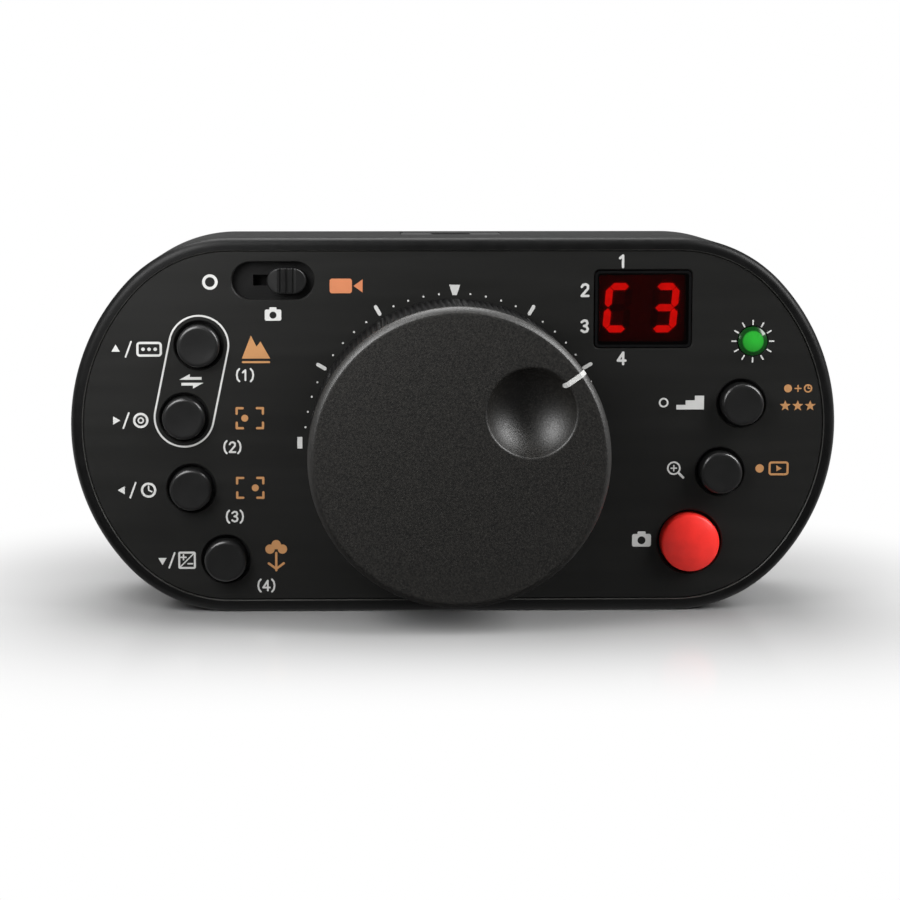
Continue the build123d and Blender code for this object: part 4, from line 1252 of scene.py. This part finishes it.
@dataclass
class Marks:
    """Printed signs of the panel: plain numbers, arrows and pictures, no words.

    Points of a sign are given from its place. Each patch lies one layer before the last one, so
    crossing patches don't share a plane.
    """

    depth: float = -14.312
    ticks: float = 30.4
    dots: float = 29.75
    layer: float = 0.002
    layers: int = 12
    spacing: float = 0.72
    strokes: int = 0
    sheets: dict = field(default_factory=dict)

    def patch(self, ink: Ink, *loops: Loop) -> None:
        """Filled sign: the first outline less the others.

        Args:
            ink: its ink.
            loops: outline and holes.
        """
        self.strokes += 1
        sheet = self.sheets.setdefault(ink, Surface())
        sheet.fill(loops, self.depth - self.layer * (self.strokes % self.layers))

    def stroke(self, ink: Ink, place: Point, width: float, *points: Point) -> None:
        """Round-ended line through points.

        Args:
            ink: its ink.
            place: place of the sign.
            width: width of the line.
            points: points from its place.
        """
        ends = [(place[0] + a, place[1] + b) for a, b in points]
        for start, end in zip(ends, ends[1:]):
            self.patch(ink, Loop.capsule(start, end, width, 30))

    def dot(self, ink: Ink, place: Point, radius: float, step: float = 20) -> None:
        """Filled circle."""
        self.patch(ink, Loop.circle(place, radius, step))

    def frame(self, ink: Ink, loop: Loop, width: float = LINE) -> None:
        """Line along an outline."""
        self.patch(ink, loop.grown(width / 2), loop.grown(-width / 2))

    def ring(self, ink: Ink, place: Point, radius: float, width: float = LINE, step: float = 12) -> None:
        """Line along a circle."""
        self.frame(ink, Loop.circle(place, radius, step), width)

    def plus(self, ink: Ink, place: Point, reach: float) -> None:
        """Plus sign."""
        for x, z in ((reach, 0), (0, reach)):
            self.stroke(ink, place, 0.26, (-x, -z), (x, z))

    def sign(self, text: str, place: Point, height: float, weight: float = 0.21) -> None:
        """White numerals and brackets drawn with round-ended strokes.

        Args:
            text: keys of NUMERALS.
            place: middle of the text.
            height: height of a numeral.
            weight: width of its strokes as a share of the height.
        """
        for i, numeral in enumerate(text):
            x = place[0] + height * self.spacing * (i - (len(text) - 1) / 2)
            points = [(height * a, height * b) for a, b in NUMERALS[numeral]]
            self.stroke(WHITE, (x, place[1]), weight * height, *points)

    def shape(self, ink: Ink, place: Point, points: Sequence[Point], size: float = 1.0) -> None:
        """Filled polygon."""
        self.patch(ink, Loop.polygon([(place[0] + size * a, place[1] + size * b) for a, b in points]))

    def star(self, place: Point, size: float, points: int = 5) -> None:
        """Tan star; every other corner lies on a circle 0.42 times as large."""
        corners = [ray(90 + 180 * i / points, 0.42 if i % 2 else 1)[0] for i in range(2 * points)]
        self.shape(TAN, place, corners, size)

    def camera(self, place: Point, size: float) -> None:
        """Still camera with its lens left bare.

        Args:
            place: middle of the sign.
            size: quarter of its width.
        """
        x, z = place
        body = Loop.rounded((x, z - 0.2 * size), 4.0 * size, 2.7 * size, 0.45 * size)
        self.patch(WHITE, body, Loop.circle((x, z - 0.2 * size), 0.85 * size, 20))
        self.patch(WHITE, Loop.rounded((x, z + 1.3 * size), 1.7 * size, 0.8 * size, 0.2 * size))

    def scale(self) -> None:
        """Ring of dots, ticks, the top triangle and the left block round the wheel."""
        for angle in range(0, 181, 6):
            if angle % 30:
                (x, z), = ray(angle, self.dots)
                self.dot(WHITE, (x, WHEEL_Z + z), 0.21, 45)
            elif angle not in (0, 90, 180):
                self.stroke(WHITE, (0, WHEEL_Z), 0.72, *ray(angle, self.ticks - 0.75, self.ticks + 0.85))
        self.shape(WHITE, (0, WHEEL_Z + self.ticks), [(-1.1, 1.05), (-0.42, -1.0), (0.42, -1.0), (1.1, 1.05)])
        block = [(-0.5, -1.15), (0.5, -1.15), (0.5, 1.15), (-0.5, 1.15)]
        self.shape(WHITE, (-self.ticks - 0.3, WHEEL_Z), block)

    def left(self) -> None:
        """Signs beside the four left buttons."""
        rows = [
            (-67.0, 53.0, 90, 2.5, 6.6), (-67.2, 38.8, 0, 2.1, 5.0),
            (-66.0, 24.8, 180, 2.1, 5.2), (-58.2, 10.6, 270, 1.9, 4.9),
        ]
        for x, z, turn, slash, _ in rows:
            self.shape(WHITE, (x, z), [ray(turn + a, 0.95)[0] for a in (0, 120, 240)])
            self.stroke(WHITE, (x + slash, z), 0.34, (-0.55, -1.5), (0.55, 1.5))
        box, iris, clock, level = [(x + step, z) for x, z, _, _, step in rows]
        self.frame(WHITE, Loop.rounded(box, 4.6, 2.5, 0.5))
        for step in (-1.2, 0, 1.2):
            self.dot(WHITE, (box[0] + step, box[1]), 0.36, 30)
        self.ring(WHITE, iris, 1.3)
        self.ring(WHITE, iris, 0.5, 0.3, 20)
        self.ring(WHITE, clock, 1.3)
        self.stroke(WHITE, clock, 0.3, (0, 0.8), (0, 0), (0.6, -0.3))
        self.frame(WHITE, Loop.rounded(level, 3.1, 3.1, 0.2), 0.4)
        self.stroke(WHITE, level, 0.25, (-1.3, -1.3), (1.3, 1.3))
        for ends in ((-1.2, 0.6), (-0.2, 0.6)), ((-0.7, 0.1), (-0.7, 1.1)), ((0.2, -0.7), (1.1, -0.7)):
            self.stroke(WHITE, level, 0.3, *ends)
        for i, spot in enumerate([(-41.5, 47.8), (-44.1, 33.4), (-43.7, 19.4), (-37.5, 5.4)]):
            self.sign(f"({i + 1})", spot, 2.0, 0.18)
        self.frame(WHITE, Loop.capsule(BUTTONS["far"], BUTTONS["up"], 11.7, 4), 0.36)
        arrow = [(-2.4, 0.3), (2.0, 0.3), (2.0, 0.85), (-0.3, 0.85), (-0.3, 1.45)]
        for side in (1, -1):
            self.shape(WHITE, (-52.1, 46.6), arrow, side)

    def stops(self) -> None:
        """Tan pictures beside the left buttons: far hills, two stored points, a near flower."""
        place = (-39.3, 53.3)
        self.shape(TAN, place, [(-2.8, -2.2), (2.8, -2.2), (0.9, 1.2), (0.1, 0.2), (-1.0, 2.4)])
        self.stroke(TAN, place, 0.4, (-2.6, -2.9), (2.6, -2.9))
        for (x, z), step in (((-40.6, 39.2), -1.0), ((-40.6, 25.2), 1.0)):
            for sx, sz in product((-1, 1), repeat=2):
                corner = (x + 2.6 * sx, z + 2.0 * sz)
                self.stroke(TAN, corner, LINE, (-1.2 * sx, 0), (0, 0), (0, -1.1 * sz))
            self.dot(TAN, (x + step, z), 0.7)
        x, z = -35.5, 11.4
        for turn in (18, 90, 162):
            (a, b), = ray(turn, 1.3)
            self.dot(TAN, (x + a, z + 1.0 + b), 0.95)
        self.stroke(TAN, (x, z), LINE, (0, 0.6), (0, -2.9))
        self.stroke(TAN, (x, z), LINE, (-1.5, -1.5), (0, -2.6), (1.5, -1.5))

    def switch(self) -> None:
        """Ring, still camera and film camera at the three places of the slide switch."""
        self.ring(WHITE, (-48.3, 66.3), 1.25, 0.56)
        self.camera((-35.9, 59.9), 0.82)
        x, z = -21.6, 65.5
        self.patch(ORANGE, Loop.rounded((x - 0.9, z), 4.4, 2.9, 0.5))
        self.shape(ORANGE, (x, z), [(1.6, 0.0), (3.4, -1.3), (3.4, 1.3)])

    def right(self) -> None:
        """Signs beside the display, the right buttons and the lamp."""
        for i, spot in enumerate([(33.2, 70.3), (25.8, 64.6), (25.8, 57.4), (33.2, 51.0)]):
            self.sign(str(i + 1), spot, 2.3)
        for i in range(12):
            self.stroke(WHITE, LENS, 0.3, *ray(30 * i, 3.35, 4.15))
        self.ring(WHITE, (41.7, 42.1), 0.8, 0.34, 15)
        stair = [(-3, -1.5), (3, -1.5), (3, 1.5), (1, 1.5), (1, 0.5), (-1, 0.5), (-1, -0.5), (-3, -0.5)]
        self.shape(WHITE, (47.0, 42.1), stair, 0.92)
        x, z = 68.5, 44.9
        self.dot(TAN, (x - 2.0, z), 0.8, 15)
        self.plus(TAN, (x, z), 0.6)
        self.ring(TAN, (x + 2.0, z), 0.7, 0.3, 15)
        self.stroke(TAN, (x, z), 0.2, (2.0, 0.5), (2.0, 0), (2.4, 0))
        for step in (-2.5, 0, 2.5):
            self.star((x + step, 41.4), 1.15)
        place = (43.9, 28.9)
        self.ring(WHITE, place, 1.2, 0.32)
        self.plus(WHITE, place, 0.55)
        self.stroke(WHITE, place, LINE, (0.95, -0.95), (1.9, -1.9))
        self.dot(TAN, (61.1, 28.8), 0.85, 15)
        self.frame(TAN, Loop.rounded((64.9, 28.8), 3.6, 2.4, 0.4), 0.42)
        self.shape(TAN, (64.9, 28.8), [(-0.45, -0.6), (0.65, 0), (-0.45, 0.6)])
        self.camera((37.6, 14.5), 0.95)

    def build(self) -> None:
        """Draws every sign and builds one thin sheet for each ink."""
        for draw in (self.scale, self.left, self.stops, self.switch, self.right):
            draw()
        for ink, sheet in self.sheets.items():
            sheet.build(f"print_{ink.name.lower()}", ink.value.material(), slot="mark_white")


@dataclass
class BatteryDoor:
    """Rear door with finger grooves, a pressed arrow and two hooks."""

    half: Point = (30.5, 17.1)
    corner: float = 2.85
    thick: float = 2.0
    edge: float = 0.25
    grooves: int = 5
    pitch: float = 2.0
    groove: Point = (16.0, 0.8)
    groove_top: float = 50.1
    cut_depth: float = 0.4
    soft: float = 0.1
    arrow: tuple = (3.0, 0.5, 3.5)
    hook: tuple = (8.0, 18.6, 23.0, 1.2)
    hook_corner: float = 0.5
    hook_bevel: float = 0.2

    def build(self) -> None:
        """Door plate with its cuts, and the hooks under its lower edge."""
        plate = Loop.rounded((0, BAY_Z), 2 * self.half[0], 2 * self.half[1], self.corner)
        cuts = []
        for i in range(self.grooves):
            z, reach = self.groove_top - i * self.pitch, (self.groove[0] - self.groove[1]) / 2
            cuts.append(Loop.capsule((-reach, z), (reach, z), self.groove[1]))
        side, tip, back = self.arrow
        cuts.append(Loop.polygon([(-side, BAY_Z + back), (0, BAY_Z + tip), (side, BAY_Z + back)]))
        skin = Surface().fill([plate.grown(-self.edge)] + [c.grown(self.soft) for c in cuts], BACK_Y)
        inner, floor = BACK_Y - self.thick, BACK_Y - self.cut_depth
        skin.wall(plate, BACK_Y, inner, -self.edge)
        for cut in cuts:
            skin.wall(cut, BACK_Y, floor, self.soft).fill([cut], floor)
        skin.fill([plate], inner)
        wide, low, high, thick = self.hook
        for x in HOOK_XS:
            hook = Loop.rounded((x, (low + high) / 2), wide, high - low, self.hook_corner)
            skin.prism(hook, inner - thick, inner, self.hook_bevel)
        skin.build("bay_door", CASE.material(), "door", ["battery_door"], "case_black")


@dataclass(frozen=True)
class CellSleeve:
    """Blue sleeve with a pale ring near the plus end, and bare steel at both ends."""

    color: Color = rgb(42, 66, 96)
    ring_color: Color = rgb(206, 206, 200)
    roughness: Point = (0.28, 0.34)
    spot: float = 3.0
    plus_end: Point = (26.2, 26.3)
    minus_end: Point = (-22.1, -22.0)
    ring_place: float = 22.6
    ring_half: float = 1.4

    def material(self) -> Material:
        """Sleeve, ring and steel by the place along a cell.

        The two cells lie head to tail, so the place along a cell is X times the sign of the
        height over the middle between them.

        Returns:
            The material.
        """
        graph = Graph("look_cells")
        x, _, z = graph.node("SeparateXYZ", {0: graph.coords()}).outputs
        along = graph.math("MULTIPLY", x, graph.math("SIGN", graph.math("SUBTRACT", z, BAY_Z)))
        plus = graph.ramp(along, (self.plus_end[0], 0), (self.plus_end[1], 1))
        minus = graph.ramp(along, (self.minus_end[0], 1), (self.minus_end[1], 0))
        steel = graph.math("MAXIMUM", plus, minus)
        ring = graph.math("COMPARE", along, self.ring_place, self.ring_half)
        inputs = {
            "Base Color": graph.mix(steel, graph.mix(ring, self.color, self.ring_color), STEEL.color),
            "Roughness": graph.uneven(graph.noise(self.spot), *self.roughness),
            "Metallic": steel,
        }
        return graph.finish(graph.node("BsdfPrincipled", inputs))


SLOT_FINISHES = {
    finish.name: finish
    for finish in (CASE, FASCIA, BLOCK, MASK, CHIP, SWITCH, STEEL, BRASS, PORT, WHEEL, RED)
}
SLOT_FINISHES.update(screw_steel=OXIDE, knob_black=CAP, mark_white=WHITE_INK, cell_wrap=CellSleeve())


def dress_frame(frame: dict) -> None:
    """Gives each CAD node that stays the finish of its material slot.
    """
    for part in frame["record"]["subparts"]:
        made = SLOT_FINISHES.get(part["material_slot"], DARK_BAR).material()
        for entry in frame["nodes"][part["node"]].material_slots:
            entry.material = made


@dataclass(frozen=True)
class Lamp:
    """Soft rectangular light at a place, in metres, turned to its aim."""

    name: str
    place: Place
    aim: Place
    size: Point
    power: float

    def build(self) -> None:
        """Builds the light."""
        data = bpy.data.lights.new(self.name, "AREA")
        data.shape = "RECTANGLE"
        data.size, data.size_y = self.size
        data.energy = self.power
        made = add_object(self.name, data)
        made.location = self.place
        direction = Vector(self.aim) - Vector(self.place)
        made.rotation_euler = direction.to_track_quat("-Z", "Y").to_euler()


LAMPS = (
    Lamp("left", (-0.14, -0.12, 0.17), (-0.03, -0.03, 0.05), (0.08, 0.16), 0.31),
    Lamp("near", (-0.09, -0.13, 0.12), (-0.02, -0.03, 0.05), (0.05, 0.1), 0.075),
    Lamp("right", (0.34, -0.15, 0.29), (0, 0, 0.04), (0.14, 0.3), 1.8),
    Lamp("back", (-0.05, 0.32, 0.96), (0, 0, 0), (0.7, 0.7), 9.5),
)


@dataclass
class Studio:
    """Camera, floor and surroundings of the photograph."""

    eye: Place = (-20.0, -386.6, 95.6)
    pitch: float = 5.0
    yaw: float = 1.0
    lens: float = 75.67
    shift: Point = (0.0707, -0.1685)
    clip: float = 0.02
    floor_half: float = 3.0
    floor_color: Color = rgb(172, 172, 172)
    floor_spot: float = 30.0
    floor_roughness: Point = (0.13, 0.15)
    floor_specular: float = 0.8
    foot: Point = (58.0, 14.0)
    fade: Point = (0.0, 70.0)
    front_fade: Point = (-22.0, -10.0)
    fill: float = 0.27
    room_side: Point = (-0.85, -0.2)
    room_top: Point = (0.2, 0.7)
    room_dark: float = 0.06
    room_white: float = 0.3

    def camera(self) -> None:
        """Camera that sees what the photograph sees."""
        data = bpy.data.cameras.new("camera")
        data.lens = self.lens
        data.shift_x, data.shift_y = self.shift
        data.clip_start = self.clip
        made = add_object("camera", data)
        made.location = [v * MM for v in self.eye]
        made.rotation_euler = (radians(90 - self.pitch), 0, radians(-self.yaw))
        bpy.context.scene.camera = made
        bpy.context.scene.view_settings.view_transform = "Standard"

    def floor(self) -> None:
        """Plain pale glossy floor."""
        mesh = bpy.data.meshes.new("floor")
        half = self.floor_half
        corners = [(-half, -half, 0), (half, -half, 0), (half, half, 0), (-half, half, 0)]
        mesh.from_pydata(corners, [], [(0, 1, 2, 3)])
        mesh.materials.append(self.floor_material())
        add_object("floor", mesh)

    def floor_material(self) -> Material:
        """Glossy white that keeps shadows near the object and is the white background far off.

        The share of background grows with the distance from a box round the object's foot. In
        mirrors the floor before the object is as dim as the side of the room it leads to.

        Returns:
            The material.
        """
        graph = Graph("floor_white")
        x, y, _ = graph.node("SeparateXYZ", {0: graph.coords()}).outputs
        sides = [
            graph.math("MAXIMUM", graph.math("SUBTRACT", graph.math("ABSOLUTE", side), half), 0)
            for side, half in ((x, self.foot[0]), (y, self.foot[1]))
        ]
        away = graph.math("SQRT", graph.math("ADD", *[graph.math("POWER", s, 2) for s in sides]))
        reach = {0: away, 1: self.fade[0], 2: self.fade[1]}
        far = graph.node("MapRange", reach, interpolation_type="SMOOTHSTEP").outputs[0]
        camera, mirror = [graph.node("LightPath").outputs[k] for k in ("Is Camera Ray", "Is Glossy Ray")]
        front = graph.ramp(y, (self.front_fade[0], 1), (self.front_fade[1], 0))
        level = graph.math("MAXIMUM", camera, graph.ramp(front, (0, 1), (1, self.room_dark)))
        inputs = {
            "Base Color": self.floor_color,
            "Roughness": graph.uneven(graph.noise(self.floor_spot), *self.floor_roughness),
            "Specular IOR Level": self.floor_specular,
        }
        plain = graph.node("BsdfPrincipled", inputs)
        white = graph.node("Emission", {"Color": (1.0, 1.0, 1.0), "Strength": level})
        hidden = graph.math("MULTIPLY", mirror, graph.math("MAXIMUM", far, front))
        share = graph.math("MAXIMUM", hidden, graph.math("MULTIPLY", camera, far))
        return graph.finish(graph.node("MixShader", {0: share, 1: plain.outputs[0], 2: white.outputs[0]}))

    def world(self) -> None:
        """Surroundings: white to the camera, dimmer as light, and seen in mirrors and glass.

        Mirrors and glass see a pale wall behind and beside the object, and the dim sides of the room
        above it and where the camera stands. Their level grows with the direction's Y, falls
        with its Z and is the product of both.
        """
        graph = Graph("world", world=True)
        bpy.context.scene.world = graph.owner
        path = graph.node("LightPath").outputs
        direction = graph.node("TexCoord").outputs["Generated"]
        _, y, z = graph.node("SeparateXYZ", {0: direction}).outputs
        side, top = self.room_side, self.room_top
        around = graph.ramp(y, (side[0], self.room_dark), (side[1], self.room_white))
        over = graph.ramp(z, (top[0], 1.0), (top[1], self.room_dark))
        around = graph.math("MULTIPLY", around, over)
        mirrored = graph.math("MAXIMUM", path["Is Glossy Ray"], path["Is Transmission Ray"])
        level = graph.ramp(mirrored, (0.0, self.fill), (1.0, around))
        level = graph.ramp(path["Is Camera Ray"], (0.0, level), (1.0, 1.0))
        graph.finish(graph.node("Background", {"Color": (1.0, 1.0, 1.0), "Strength": level}))

    def build(self) -> None:
        """Sets up the whole studio."""
        self.camera()
        self.floor()
        self.world()
        for lamp in LAMPS:
            lamp.build()


def main() -> None:
    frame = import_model()
    dress_frame(frame)
    pieces = [Shells(Housing()), FocusWheel(), *PUSH_BUTTONS, ModeSwitch(), Display()]
    for piece in [*pieces, StatusLamp(), Marks(), BatteryDoor(), Studio()]:
        piece.build()


if __name__ == "__main__":
    logging.basicConfig(level=logging.INFO, format="%(message)s")
    main()
